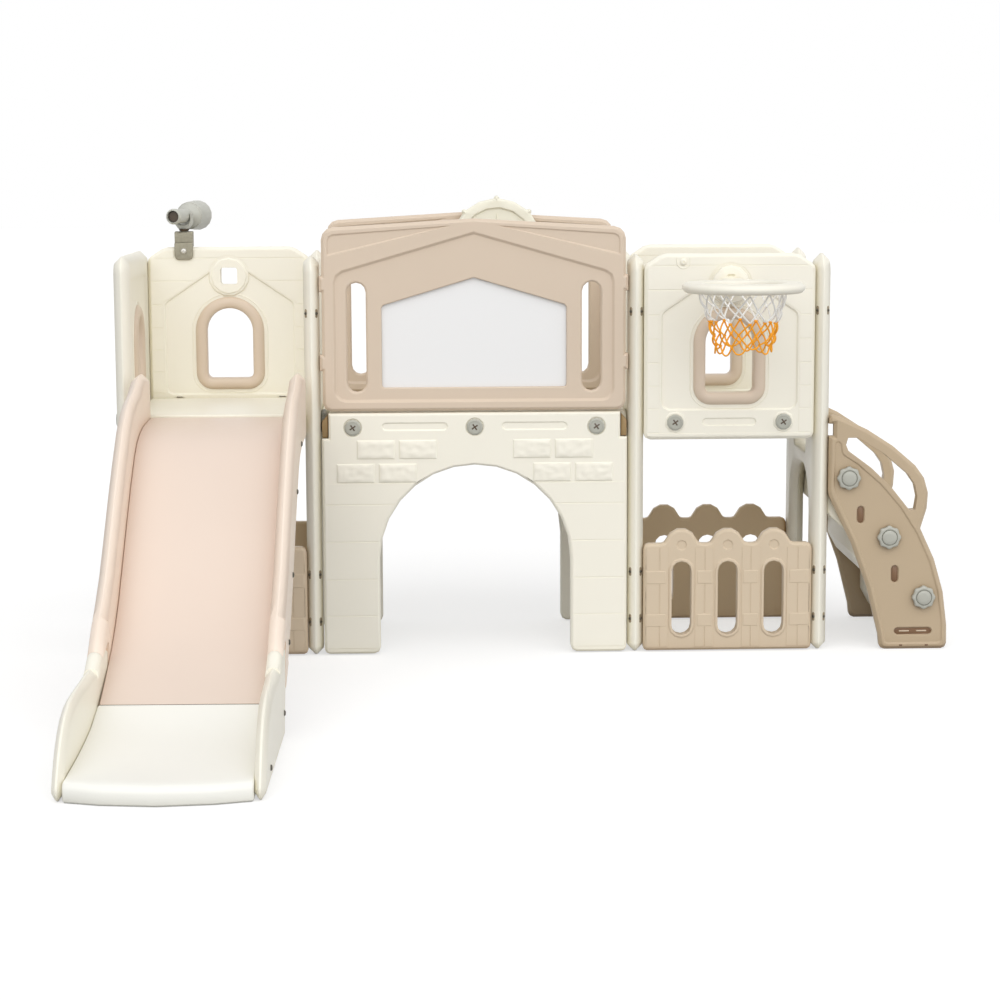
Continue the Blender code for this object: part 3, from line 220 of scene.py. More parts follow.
def cord_skin():
    """Braided cord: a fine crossed weave with fuzz, and painted shade between its strands."""
    tree, given, result = new_group(
        "braided cord",
        [("Colour", COLOUR), ("Gloss", NUMBER)],
        [("Colour", COLOUR), ("Roughness", NUMBER), ("Height", NUMBER)],
    )
    where = node(tree, "ShaderNodeTexCoord").outputs["Object"]
    weave = node(tree, "ShaderNodeTexVoronoi", {"Vector": where, "Scale": 720.0})
    fuzz = node(tree, "ShaderNodeTexNoise", {"Vector": where, "Scale": 1500.0, "Detail": 3.0})
    soil = node(tree, "ShaderNodeTexNoise", {"Vector": where, "Scale": 22.0, "Detail": 3.0})
    # Painted shade: the colour is lighter in the middle of each weave cell and darker towards its edges, for
    # the shade between the strands. The soil noise is uneven dirt.
    level = ranged(tree, weave.outputs["Distance"], 1.06, 0.92, 0.0, 0.9)
    level = sums(tree, "MULTIPLY", level, ranged(tree, soil.outputs["Fac"], 0.94, 1.06, 0.3, 0.7))
    tinted = node(tree, "ShaderNodeHueSaturation", {"Color": given.outputs["Colour"], "Value": level})
    tree.links.new(tinted.outputs[0], result.inputs["Colour"])
    rough = sums(tree, "ADD", given.outputs["Gloss"], sums(tree, "MULTIPLY", fuzz.outputs["Fac"], 0.15))
    tree.links.new(rough, result.inputs["Roughness"])
    height = sums(tree, "SUBTRACT", fuzz.outputs["Fac"], weave.outputs["Distance"])
    tree.links.new(height, result.inputs["Height"])
    return tree


def worn_metal():
    """Painted or plated metal: fine brushing, and spots where the finish has dulled."""
    tree, given, result = new_group(
        "dull metal",
        [("Colour", COLOUR), ("Gloss", NUMBER)],
        [("Colour", COLOUR), ("Roughness", NUMBER), ("Height", NUMBER)],
    )
    where = node(tree, "ShaderNodeTexCoord").outputs["Object"]
    long_way = node(tree, "ShaderNodeMapping", {"Vector": where, "Scale": (40.0, 40.0, 1400.0)})
    brushed = node(tree, "ShaderNodeTexNoise", {"Vector": long_way.outputs[0], "Scale": 1.0, "Detail": 4.0})
    spots = node(tree, "ShaderNodeTexNoise", {"Vector": where, "Scale": 160.0, "Detail": 4.0})
    level = ranged(tree, spots.outputs["Fac"], 0.86, 1.08, 0.3, 0.7)
    tinted = node(tree, "ShaderNodeHueSaturation", {"Color": given.outputs["Colour"], "Value": level})
    tree.links.new(tinted.outputs[0], result.inputs["Colour"])
    rough = sums(tree, "ADD", given.outputs["Gloss"], sums(tree, "MULTIPLY", spots.outputs["Fac"], 0.2))
    tree.links.new(rough, result.inputs["Roughness"])
    tree.links.new(brushed.outputs["Fac"], result.inputs["Height"])
    return tree


SKIN = moulded_skin()
BRAID = cord_skin()
METAL = worn_metal()


def plastic(name, colour, gloss=0.40, clouding=0.05, wear=1.0, bump=0.0006):
    values = {"Gloss": gloss, "Clouding": clouding, "Wear": wear}
    return finished(name, colour, SKIN, values, bump)


def metal(name, colour, gloss, bump, metallic):
    return finished(name, colour, METAL, {"Gloss": gloss}, bump, metallic)


def braided(name, colour, gloss):
    return finished(name, colour, BRAID, {"Gloss": gloss}, 0.0004)


FINISHES = {
    "cream": plastic("cream plastic", (244, 240, 226)),
    "sand": plastic("sand plastic", (214, 196, 176)),
    "tan": plastic("tan plastic", (209, 191, 166)),
    "blush": plastic("blush plastic", (225, 207, 193)),
    "peach": plastic("peach plastic", (241, 224, 208)),
    "grey": plastic("grey plastic", (178, 178, 168), gloss=0.34, clouding=0.06),
    "scope": plastic("light grey plastic", (190, 190, 181), gloss=0.42),
    "plate": metal("dull metal strip", (150, 145, 128), 0.30, 0.00008, 0.55),
    "dark": plastic("dark plastic", (88, 74, 60), gloss=0.22, clouding=0.15),
    "pane": plastic("pale pane", (239, 239, 239), gloss=0.22, clouding=0.01, wear=0.6, bump=0.0001),
    "wheel": plastic("wheel plastic", (240, 237, 220)),
    "white_cord": braided("white cord", (247, 246, 242), 0.65),
    "orange_cord": braided("orange cord", (255, 172, 40), 0.60),
}

# Finishes of pieces that differ from the rest of their slot
CLIMBER_TAN = plastic("deeper tan plastic", (187, 167, 139))
# Painted shade: a darker, warmer copy of the tan for the back fences and their planks, which stand in shade
# under the decks.
PAINTED_SHADE_TAN = plastic("tan plastic with painted shade", (208, 184, 150))
# Painted shade: cream plastic as it looks in the shade behind the arch's corner notches, given to the lugs
# there.
LUG_PAINTED_SHADE = plastic("cream plastic in painted shade", (158, 132, 92))
WHITE = plastic("white plastic", (243, 242, 235))
STEEL = metal("dark steel", (92, 88, 80), 0.22, 0.00006, 0.9)
BRIGHT = metal("bright stud", (205, 203, 196), 0.18, 0.00004, 0.6)
# Painted shade: dark brown for the floors of the climber's sunk marks and slits, for the shade inside them.
SLOT_PAINTED_SHADE = plastic("painted slot shade", (122, 92, 66))
# Painted shade: a darker plate on each post bolt's seat, for the shade inside the notch it stands for.
NOTCH_PAINTED_SHADE = plastic("painted notch shade", (150, 136, 112))


# Meshes


class Shape:
    """Points and faces that are gathered into one piece."""

    def __init__(self):
        self.points = []
        self.faces = []

    def add(self, points, faces, place=None):
        """Joins another shape on, moved by a matrix."""
        first = len(self.points)
        for point in points:
            self.points.append(place @ Vector(point) if place else Vector(point))
        self.faces += [tuple(first + corner for corner in face) for face in faces]

    def join(self, other, place=None):
        self.add(other.points, other.faces, place)

    def piece(self, name, slot, body=ROOT, smooth=45, material=None):
        """The object itself, on its body, with the finish of its material slot."""
        data = bpy.data.meshes.new(name)
        data.from_pydata(self.points, [], self.faces)
        mesh = bmesh.new()
        mesh.from_mesh(data)
        bmesh.ops.recalc_face_normals(mesh, faces=mesh.faces)
        mesh.to_mesh(data)
        mesh.free()
        data.shade_smooth()
        data.set_sharp_from_angle(angle=math.radians(smooth))
        data.materials.append(material or FINISHES[slot])
        made = bpy.data.objects.new(name, data)
        bpy.context.scene.collection.objects.link(made)
        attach(made, body)
        return made


def loops(rings, closed=False):
    """Faces between rings of points that have the same count. Open ends are capped."""
    shape = Shape()
    count = len(rings[0])
    points = [point for ring in rings for point in ring]
    faces = []
    for index in range(len(rings) if closed else len(rings) - 1):
        first = index * count
        second = (index + 1) % len(rings) * count
        for step in range(count):
            nearer = (step + 1) % count
            faces.append((first + step, first + nearer, second + nearer, second + step))
    if not closed:
        faces.append(tuple(reversed(range(count))))
        faces.append(tuple(range(len(points) - count, len(points))))
    shape.add(points, faces)
    return shape


def placed(shape, place):
    """A copy of a shape, moved by a matrix."""
    moved = Shape()
    moved.join(shape, place)
    return moved


def round_ring(radius, level, sides, waves=0.0, lobes=8):
    """A ring of points about z. waves makes its radius rise and fall that much, lobes times round."""
    ring = []
    for step in range(sides):
        angle = 2 * math.pi * step / sides
        reach = radius + waves * (math.cos(lobes * angle) - 1) / 2
        ring.append(Vector((reach * math.cos(angle), reach * math.sin(angle), level)))
    return ring


def turned(profile, sides):
    """A round form from its profile of radius and level."""
    return loops([round_ring(max(radius, 1e-5), level, sides) for radius, level in profile])


def arc(radius, start, sweep, steps):
    """Points on an arc about z. Its angles are in degrees."""
    points = []
    for step in range(steps + 1):
        angle = math.radians(start + sweep * step / steps)
        points.append(Vector((radius * math.cos(angle), radius * math.sin(angle), 0)))
    return points


# How fast a cord's strands wind round it, in radians a metre
TWIST = 900.0


def cord(path, radius, closed=False, sides=8, lobe=0.10):
    """A laid cord of three strands along a path, or a plain bead where lobe is 0."""
    rings = []
    travelled = 0.0
    side = None
    count = len(path)
    for index, here in enumerate(path):
        before = path[index - 1] if index or closed else path[0]
        after = path[(index + 1) % count] if index + 1 < count or closed else path[-1]
        along = (after - before).normalized()
        if side is None:
            side = along.orthogonal().normalized()
        side = (side - along * side.dot(along)).normalized()
        other = along.cross(side)
        travelled += (here - path[index - 1]).length if index else 0.0
        ring = []
        for step in range(sides):
            angle = 2 * math.pi * step / sides
            reach = radius * (1 - lobe * (1 - math.cos(3 * angle + TWIST * travelled)) / 2)
            ring.append(here + side * reach * math.cos(angle) + other * reach * math.sin(angle))
        rings.append(ring)
    return loops(rings, closed)


def eased(points, steps):
    """Points on a smooth open curve through the given ones."""
    padded = [points[0], *points, points[-1]]
    curve = []
    for index in range(1, len(padded) - 2):
        before, start, end, after = padded[index - 1 : index + 3]
        for step in range(steps):
            t = step / steps
            lead = (end - before) / 2
            trail = (after - start) / 2
            curve.append(
                start * (2 * t**3 - 3 * t**2 + 1)
                + lead * (t**3 - 2 * t**2 + t)
                + end * (3 * t**2 - 2 * t**3)
                + trail * (t**3 - t**2)
            )
    return [*curve, points[-1]]


# The model's own pieces


def soften_modifier(name, turn_limit):
    """A node group that joins the model's split corners and shades turns below a limit smoothly."""
    tree = bpy.data.node_groups.new(name, "GeometryNodeTree")
    for direction in ("INPUT", "OUTPUT"):
        tree.interface.new_socket("Geometry", in_out=direction, socket_type="NodeSocketGeometry")
    given = tree.nodes.new("NodeGroupInput")
    merged = node(tree, "GeometryNodeMergeByDistance", {"Geometry": given.outputs[0], "Distance": 0.00001})
    bare = node(tree, "GeometryNodeRemoveAttribute", {"Geometry": merged.outputs[0], "Name": "custom_normal"})
    whole = node(tree, "GeometryNodeSetShadeSmooth", {"Geometry": bare.outputs[0], "Shade Smooth": True})
    turn = node(tree, "GeometryNodeInputMeshEdgeAngle").outputs["Unsigned Angle"]
    limit = math.radians(turn_limit)
    gentle = node(tree, "FunctionNodeCompare", {"A": turn, "B": limit}, operation="LESS_THAN")
    edges = node(
        tree, "GeometryNodeSetShadeSmooth",
        {"Geometry": whole.outputs[0], "Shade Smooth": gentle.outputs["Result"]}, domain="EDGE",
    )
    result = tree.nodes.new("NodeGroupOutput")
    tree.links.new(edges.outputs[0], result.inputs[0])
    return tree


# Turns sharper than these, in degrees, stay edges. Moulded panels keep finer lines than round parts
SOFT_TURN = 50
CRISP_TURN = 35
SOFT_FORM = soften_modifier("soft form", SOFT_TURN)
CRISP_FORM = soften_modifier("crisp form", CRISP_TURN)
CRISP_WORDS = ("panel", "wall", "arch", "fence", "climber")

OWN_FINISH = {
    "slide_exit_bed": WHITE,
    "climber_front_side": CLIMBER_TAN,
    "climber_back_side": CLIMBER_TAN,
    "left_back_fence": PAINTED_SHADE_TAN,
    "right_back_fence": PAINTED_SHADE_TAN,
}


def finish_node(name, slot):
    """Gives one of the model's pieces its material and its rounded edges."""
    part = frame["nodes"][name]
    for index in range(len(part.material_slots)):
        part.material_slots[index].link = "OBJECT"
        part.material_slots[index].material = OWN_FINISH.get(name, FINISHES[slot])
    crisp = any(word in name for word in CRISP_WORDS)
    part.modifiers.new("form", "NODES").node_group = CRISP_FORM if crisp else SOFT_FORM
    edges = part.modifiers.new("rounded edges", "BEVEL")
    edges.width = 0.0012
    edges.segments = 2
    edges.limit_method = "ANGLE"
    edges.angle_limit = math.radians(CRISP_TURN if crisp else SOFT_TURN)
    normals = part.modifiers.new("even shading", "WEIGHTED_NORMAL")
    normals.keep_sharp = True


for part in frame["record"]["subparts"]:
    finish_node(part["node"], part["material_slot"])


# Boards, blocks and planks

# How far a board stands out, and half the open line between two of them
BOARD = 0.0009
HALF_LINE = 0.0011


def drawn_in(outline, distance):
    """An anticlockwise outline moved inwards."""
    moved = []
    for index, here in enumerate(outline):
        first = (here - outline[index - 1]).normalized()
        second = (outline[(index + 1) % len(outline)] - here).normalized()
        inward = Vector((-first.y - second.y, first.x + second.x))
        moved.append(here + inward * distance / (1 + first.dot(second)))
    return moved


def plate(corners, high=BOARD, edge=0.0005):
    """A raised plate on z = 0 with a chamfered upper edge. Its corners run anticlockwise."""
    outline = [Vector(corner) for corner in corners]
    levels = ((0.0, -0.0003), (0.0, high - edge), (edge, high))
    return loops([[(*point, level) for point in drawn_in(outline, inset)] for inset, level in levels])


def add_pair(shape, corners):
    """A board and its mirror image across x = 0."""
    shape.join(plate(corners))
    shape.join(plate([(-x, y) for x, y in reversed(corners)]))


def oblong(left, low, right, high):
    return [(left, low), (right, low), (right, high), (left, high)]


# A wall is drawn from its middle and the floor. These are the lines between its boards
BOARD_LINES = (0.556, 0.617, 0.673, 0.731, 0.790, 0.850, 0.912, 0.972)
BOARD_LOW = 0.548
BOARD_HIGH = 0.9925
BOARD_OUT = 0.2045
BOARD_IN = 0.1745

# The wall's cut upper corner: its foot, and how far out it is at the last line and at the top
CUT_FOOT = 0.964
CUT_OUT = 0.1965
CUT_MIDDLE = 0.1930
CUT_TOP = 0.1655

# The wall's sunk field and the collar round its boss
FIELD_HALF = 0.171
EAVE = 0.8586
ROOF_SLOPE = math.radians(34)
BOSS_UP = 0.925
COLLAR = 0.054

# The top board is open between these where the bracket sits astride the wall
BRACKET_GAP = (-0.1435, -0.0895)


def slope_at(height):
    """How far from the middle a wall's sunk field reaches at a height above its eaves."""
    return FIELD_HALF - (height - EAVE) / math.tan(ROOF_SLOPE)


def collar_at(angle):
    turn = math.radians(angle)
    return COLLAR * math.cos(turn), BOSS_UP + COLLAR * math.sin(turn)


def wall_boards(first, bracket):
    """The boards round a wall's field, from the first line that no deck covers."""
    shape = Shape()
    for low, high in zip(BOARD_LINES[first:5], BOARD_LINES[first + 1 : 6]):
        add_pair(shape, oblong(BOARD_IN, low + HALF_LINE, BOARD_OUT, high - HALF_LINE))
    low, high = BOARD_LINES[5] + HALF_LINE, BOARD_LINES[6] - HALF_LINE
    shoulder = [(slope_at(high), high), (BOARD_IN, EAVE - 0.0024), (BOARD_IN, low)]
    add_pair(shape, [(BOARD_OUT, low), (BOARD_OUT, high), *shoulder])
    low, high = BOARD_LINES[6] + HALF_LINE, BOARD_LINES[7] - HALF_LINE
    beside = [collar_at(angle) for angle in (58, 47, 36, 25, 14.7)]
    outer = [(BOARD_OUT, low), (BOARD_OUT, CUT_FOOT), (CUT_OUT, high)]
    add_pair(shape, [*outer, *beside, (slope_at(low), low)])
    low, high = BOARD_LINES[7] + HALF_LINE, BOARD_HIGH
    over = [collar_at(angle) for angle in (117, 104, 90, 76, 63)]
    if bracket:
        left, right = BRACKET_GAP
        shape.join(plate([(-CUT_MIDDLE, low), (left, low), (left, high), (-CUT_TOP, high)]))
        start = [(right, high), (right, low)]
    else:
        start = [(-CUT_TOP, high), (-CUT_MIDDLE, low)]
    shape.join(plate([*start, *over, (CUT_MIDDLE, low), (CUT_TOP, high)]))
    if first == 0:
        shape.join(plate(oblong(-BOARD_OUT, BOARD_LOW, BOARD_OUT, BOARD_LINES[0] - HALF_LINE)))
    return shape


def add_wall_boards():
    # Name, place, turn, first line, and whether the bracket parts the top board
    sides = (
        ("right_front_wall_outside", RIGHT_MIDDLE, FRONT_OUTSIDE, 0, TO_FRONT, 0, False),
        ("right_front_wall_inside", RIGHT_MIDDLE, FRONT_INSIDE, 0, TO_BACK, 1, False),
        ("right_back_wall_inside", RIGHT_MIDDLE, BACK_INSIDE, BACK_RAISED, TO_FRONT, 1, False),
        ("right_back_wall_outside", RIGHT_MIDDLE, BACK_OUTSIDE, BACK_RAISED, TO_BACK, 0, False),
        ("left_back_wall_inside", LEFT_MIDDLE, BACK_INSIDE, BACK_RAISED, TO_FRONT, 1, True),
        ("left_back_wall_outside", LEFT_MIDDLE, BACK_OUTSIDE, BACK_RAISED, TO_BACK, 0, False),
    )
    for name, across, back, up, turn, first, bracket in sides:
        boards = placed(wall_boards(first, bracket), Matrix.Translation(at(across, back, up)) @ turn)
        boards.piece(f"{name}_boards", "cream", smooth=30)


# The lines between the arch's stone blocks, and the arch that its legs are cut to
BLOCK_LINES = (0.016, 0.100, 0.193, 0.288, 0.382, 0.4362)
ARCH_OUT = 0.374
ARCH_SPRING = 0.241
ARCH_RADIUS = 0.245

# Each row of bricks: its height, and how far from the middle its first brick is
BRICK_ROWS = ((0.520, 0.142), (0.461, 0.1925))
BRICK_STEP = 0.1045
BRICK_HALF_WIDE = 0.0445
BRICK_HALF_HIGH = 0.0210
BRICK_PROUD = 0.0029


def leg_inside(height):
    """How far from the middle the face of an arch leg starts at a height."""
    rise = max(height - ARCH_SPRING, 0.0)
    return math.sqrt(ARCH_RADIUS**2 - rise**2)


def rough_brick(across, up, seed, relief):
    """The hammered face of one brick. relief is how far its lumps stand out."""
    columns, rows = 18, 9
    points = []
    for row in range(rows + 1):
        for column in range(columns + 1):
            x = BRICK_HALF_WIDE * (2 * column / columns - 1)
            y = BRICK_HALF_HIGH * (2 * row / rows - 1)
            lump = noise.noise(Vector((x * 62 + y * 30 + seed * 7.1, y * 75 - x * 25, seed * 3.3)))
            fine = noise.noise(Vector((x * 190 + seed, y * 190, seed * 1.7)))
            rim = row in (0, rows) or column in (0, columns)
            rise = 0.0 if rim else max(0.0003, 0.0012 + 0.0026 * lump + 0.0007 * fine)
            points.append((across + x, up + y, rise * relief))
    faces = []
    for row in range(rows):
        for column in range(columns):
            first = row * (columns + 1) + column
            faces.append((first, first + 1, first + columns + 2, first + columns + 1))
    shape = Shape()
    shape.add(points, faces)
    return shape


def add_arch_blocks():
    faces = (("front", FRONT_OUTSIDE, TO_FRONT, 1.0), ("back", BACK_OUTSIDE, TO_BACK, 0.3))
    for side, back, turn, relief in faces:
        place = Matrix.Translation(at(BRIDGE_MIDDLE, back, 0)) @ turn
        blocks = Shape()
        for low, high in zip(BLOCK_LINES, BLOCK_LINES[1:]):
            low, high = low + HALF_LINE, high - HALF_LINE
            inside = []
            for step in range(5):
                height = high + (low - high) * step / 4
                inside.append((leg_inside(height), height))
            add_pair(blocks, [(ARCH_OUT, low), (ARCH_OUT, high), *inside])
        placed(blocks, place).piece(f"{side}_arch_blocks", "cream", smooth=30)
        bricks = Shape()
        for up, aside in BRICK_ROWS:
            for along in (0, BRICK_STEP):
                for sign in (-1, 1):
                    seed = sign * aside * 40 + along * 90 + up
                    bricks.join(rough_brick(sign * (aside + along), up, seed, relief))
        bricks = placed(bricks, place @ Matrix.Translation((0, 0, BRICK_PROUD)))
        bricks.piece(f"{side}_arch_brick_faces", "cream", smooth=60)


# The strips of a fence that stay beside its openings, and the lines where two planks meet
PLANK_STRIPS = (
    (-0.2045, -0.172), (-0.172, -0.150), (-0.082, -0.058), (-0.058, -0.036),
    (0.036, 0.058), (0.058, 0.082), (0.150, 0.177), (0.177, 0.2045),
)
PLANK_LINES = (-0.172, -0.058, 0.058, 0.177)
PLANK_LOW = 0.012
PLANK_HIGH = 0.266


def add_planks():
    """The planks' edges on each fence, with an open line between neighbours."""
    # The back faces' planks take the tan with painted shade.
    faces = (("front", 0.002, TO_FRONT, None), ("back", 0.458, TO_BACK, PAINTED_SHADE_TAN))
    for side, across in (("left", LEFT_MIDDLE), ("right", RIGHT_MIDDLE)):
        for face, back, turn, tone in faces:
            planks = Shape()
            for left, right in PLANK_STRIPS:
                left += HALF_LINE if left in PLANK_LINES else 0
                right -= HALF_LINE if right in PLANK_LINES else 0
                planks.join(plate(oblong(left, PLANK_LOW, right, PLANK_HIGH)))
            planks = placed(planks, Matrix.Translation(at(across, back, 0)) @ turn)
            planks.piece(f"{side}_{face}_fence_planks", "tan", smooth=30, material=tone)


add_wall_boards()
add_arch_blocks()
add_planks()


# The slide's rail ends and screws

# The slide stands a little to the right and askew
SLIDE_HEAD = at(LEFT_MIDDLE + 0.010, -0.005, 0)
SLIDE_TURN = Matrix.Translation(SLIDE_HEAD) @ Matrix.Rotation(math.radians(-1.1), 4, "Z")
RAIL_MIDDLE = 0.1915
RAIL_HALF = 0.0172

# Places on the slide as seen from its right side: x is negative towards the low end, and y is up
RAIL_CREST = (
    (-0.8110, 0.2586), (-0.8190, 0.2535), (-0.8400, 0.2390),
    (-0.8600, 0.2230), (-0.8770, 0.2080), (-0.8890, 0.1870),
)
RAIL_UNDER = ((-0.8080, 0.2050), (-0.7985, 0.1970), (-0.8130, 0.1010), (-0.7300, 0.1375))
TIP_TOP = (
    (-0.8840, 0.1960), (-0.8910, 0.1985), (-0.9000, 0.1965),
    (-0.9130, 0.1900), (-0.9300, 0.1815), (-0.9480, 0.1745),
)
TIP_UNDER = ((-0.9500, 0.1540), (-0.8840, 0.1700))
SLIDE_SCREWS = (
    (-0.21, 0.562), (-0.38, 0.470), (-0.56, 0.305),
    (-0.71, 0.180), (-0.88, 0.060), (-1.25, 0.035),
)
SEAM = ((-0.9618, 0.080), (-0.9604, 0.080), (-0.9604, 0.0992), (-0.9618, 0.0990))
SEAM_HALF = 0.1735


def rounded_over(half, crown=()):
    """Levels from one side of a rounded edge to the other, each with its depth under the crown."""
    return (*half, *crown, *((-level, inset) for level, inset in reversed(half)))


def on_rail(sign):
    return SLIDE_TURN @ Matrix.Translation((sign * RAIL_MIDDLE, 0, 0)) @ TO_RIGHT


def add_rail_end(side, sign):
    """The end of a rail, which narrows down to the low end's side."""
    half = ((-RAIL_HALF, 0.0140), (-0.0128, 0.0080), (-0.0075, 0.0030), (-0.0020, 0.0))
    crest = [Vector(point) for point in RAIL_CREST]
    last = len(crest) - 1
    rings = []
    for level, inset in rounded_over(half):
        ring = []
        for index, point in enumerate(crest):
            along = (crest[min(index + 1, last)] - crest[max(index - 1, 0)]).normalized()
            # The tip laps over the lowest point, which is rounded less
            share = inset * (1 if index < last else 0.3)
            lowered = point + Vector((-along.y, along.x)) * share
            ring.append((lowered.x, lowered.y, level))
        rings.append(ring + [(x, y, level) for x, y in RAIL_UNDER])
    placed(loops(rings), on_rail(sign)).piece(f"slide_{side}_rail_end", "peach", smooth=50)


def add_side_tip(side, sign):
    """The rounded tip of a low end's side, which laps over the end of the rail."""
    half = ((-0.0166, 0.0180), (-0.0155, 0.0115), (-0.0125, 0.0055), (-0.0075, 0.0014))
    rings = []
    for level, inset in rounded_over(half, ((0.0, 0.0),)):
        top = [(x, y - inset, level) for x, y in TIP_TOP]
        rings.append(top + [(x, y, level) for x, y in TIP_UNDER])
    placed(loops(rings), on_rail(sign)).piece(f"slide_{side}_side_tip", "cream", smooth=60)


def screw(radius=0.0065, high=0.0035):
    """A low dome with a small recess in its middle."""
    profile = [(radius, -0.001), (radius, high * 0.25), (radius * 0.8, high * 0.75)]
    profile += [(radius * 0.45, high), (radius * 0.30, high), (radius * 0.25, high * 0.6)]
    return turned([*profile, (0, high * 0.6)], 16)


def add_slide_screws():
    for side, sign, turn in (("left", -1, TO_LEFT), ("right", 1, TO_RIGHT)):
        screws = Shape()
        for along, up in SLIDE_SCREWS:
            place = Matrix.Translation((sign * (RAIL_MIDDLE + RAIL_HALF), along, up)) @ turn
            screws.join(screw(), SLIDE_TURN @ place)
        screws.piece(f"slide_{side}_screws", "grey", material=STEEL)


def add_bed_seam():
    """A dark strip of painted shade in the joint between the two lengths of the slide's bed, for the shade
    inside the gap between them.
    """
    sides = [[(x, y, level) for x, y in SEAM] for level in (-SEAM_HALF, SEAM_HALF)]
    placed(loops(sides), SLIDE_TURN @ TO_RIGHT).piece("bed_seam_shade", "dark")


for side, sign in (("left", -1), ("right", 1)):
    add_rail_end(side, sign)
    add_side_tip(side, sign)
add_slide_screws()
add_bed_seam()


# Window rings

# Half of a ring's section: how far it lies out from the opening, and from the wall's middle
RING_HALF = [
    (0.0, 0.0129), (0.0006, 0.0165), (0.0030, 0.0200), (0.0075, 0.0223), (0.0130, 0.0229),
    (0.0185, 0.0226), (0.0240, 0.0205), (0.0280, 0.0172), (0.0300, 0.0129), (0.0116, 0.0129),
]

# The opening's corners: centre, radius, first angle, sweep and steps
WINDOW_CORNERS = (
    ((0.046, 0.670, 0), 0.014, -90, 90, 8),
    ((0.0, 0.780, 0), 0.060, 0, 180, 28),
    ((-0.046, 0.670, 0), 0.014, 180, 90, 8),
)
LIP_OUT = 0.0385
LIP_LEVEL = 0.0122
LIP_RADIUS = 0.0017


def window_path():
    """Points round the window opening, each with the way out from the opening."""
    path = []
    for centre, radius, start, sweep, steps in WINDOW_CORNERS:
        for out in arc(1, start, sweep, steps):
            path.append((Vector(centre) + out * radius, out))
    return path


def add_window_rings():
    path = window_path()
    section = RING_HALF + [(out, -level) for out, level in reversed(RING_HALF)]
    rings = [[point + away * out + Vector((0, 0, level)) for out, level in section] for point, away in path]
    form = loops(rings, closed=True)
    lips = Shape()
    front_middle = (FRONT_OUTSIDE + FRONT_INSIDE) / 2
    back_middle = (BACK_INSIDE + BACK_OUTSIDE) / 2
    for name, place in (
        ("right_front_window_ring", Matrix.Translation(at(RIGHT_MIDDLE, front_middle, 0)) @ TO_FRONT),
        ("left_back_window_ring", Matrix.Translation(at(LEFT_MIDDLE, back_middle, BACK_RAISED)) @ TO_BACK),
        ("right_back_window_ring", Matrix.Translation(at(RIGHT_MIDDLE, back_middle, BACK_RAISED)) @ TO_BACK),
        ("left_side_window_ring", Matrix.Translation(at(0, FRAME_DEPTH / 2, 0)) @ TO_RIGHT),
    ):
        ring = placed(form, place)
        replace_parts(ring.piece(f"{name}_rounded", "sand", smooth=60), name)
        for level in (-LIP_LEVEL, LIP_LEVEL):
            outline = [point + away * LIP_OUT + Vector((0, 0, level)) for point, away in path]
            lips.join(cord(outline, LIP_RADIUS, closed=True, lobe=0.0), place)
    lips.piece("window_lips", "cream", smooth=60)


add_window_rings()


# Bolts, studs and knobs

# The heights of the posts' bolts, and where their seats lie behind a frame's face and beside its middle
UPPER_BOLT = 0.859
LOW_BOLTS = (0.205, 0.085)
SEAT_BACK = 0.0100
SEAT_ASIDE = 0.013
SEAT_RADIUS = 0.0040
SEAT_REACH = 0.0070


def add_post_bolts():
    """The seats on the rounded edges of the posts and legs, each with its bolt. The seats are darker as
    painted shade, standing for the notches that the bolts sit in.
    """
    seats = Shape()
    bolts = Shape()
    outline = []
    for step in range(16):
        angle = 2 * math.pi * step / 16
        up = math.copysign(SEAT_REACH, math.sin(angle))
        outline.append((SEAT_RADIUS * math.cos(angle), up + SEAT_RADIUS * math.sin(angle)))
    seat = plate(outline, 0.0006, 0.0004)
    bolt = screw(SEAT_RADIUS, 0.0030)
    for across in FRAME_MIDDLES:
        # The left outer frame is closed above the deck, and has no upper bolts
        heights = LOW_BOLTS if across == 0 else (UPPER_BOLT, *LOW_BOLTS)
        for back, facing in ((SEAT_BACK, 1), (FRAME_DEPTH - SEAT_BACK, -1)):
            for sign in (-1, 1):
                lean = sign * facing * math.pi / 4 + (0 if facing > 0 else math.pi)
                for up in heights:
                    place = Matrix.Translation(at(across + sign * SEAT_ASIDE, back, up))
                    place = place @ Matrix.Rotation(lean, 4, "Z") @ TO_FRONT
                    seats.join(seat, place)
                    bolts.join(bolt, place)
    seats.piece("post_bolt_seats", "cream", material=NOTCH_PAINTED_SHADE)
    bolts.piece("post_bolts", "grey", material=STEEL)


# Where the big bolts sit: how far from the middle of the arch and of the front wall, and their height
ARCH_BOLTS = (-0.3035, 0, 0.3035)
ARCH_BOLT_UP = 0.575
WALL_BOLTS = (-0.1355, 0.1355)
WALL_BOLT_UP = 0.583


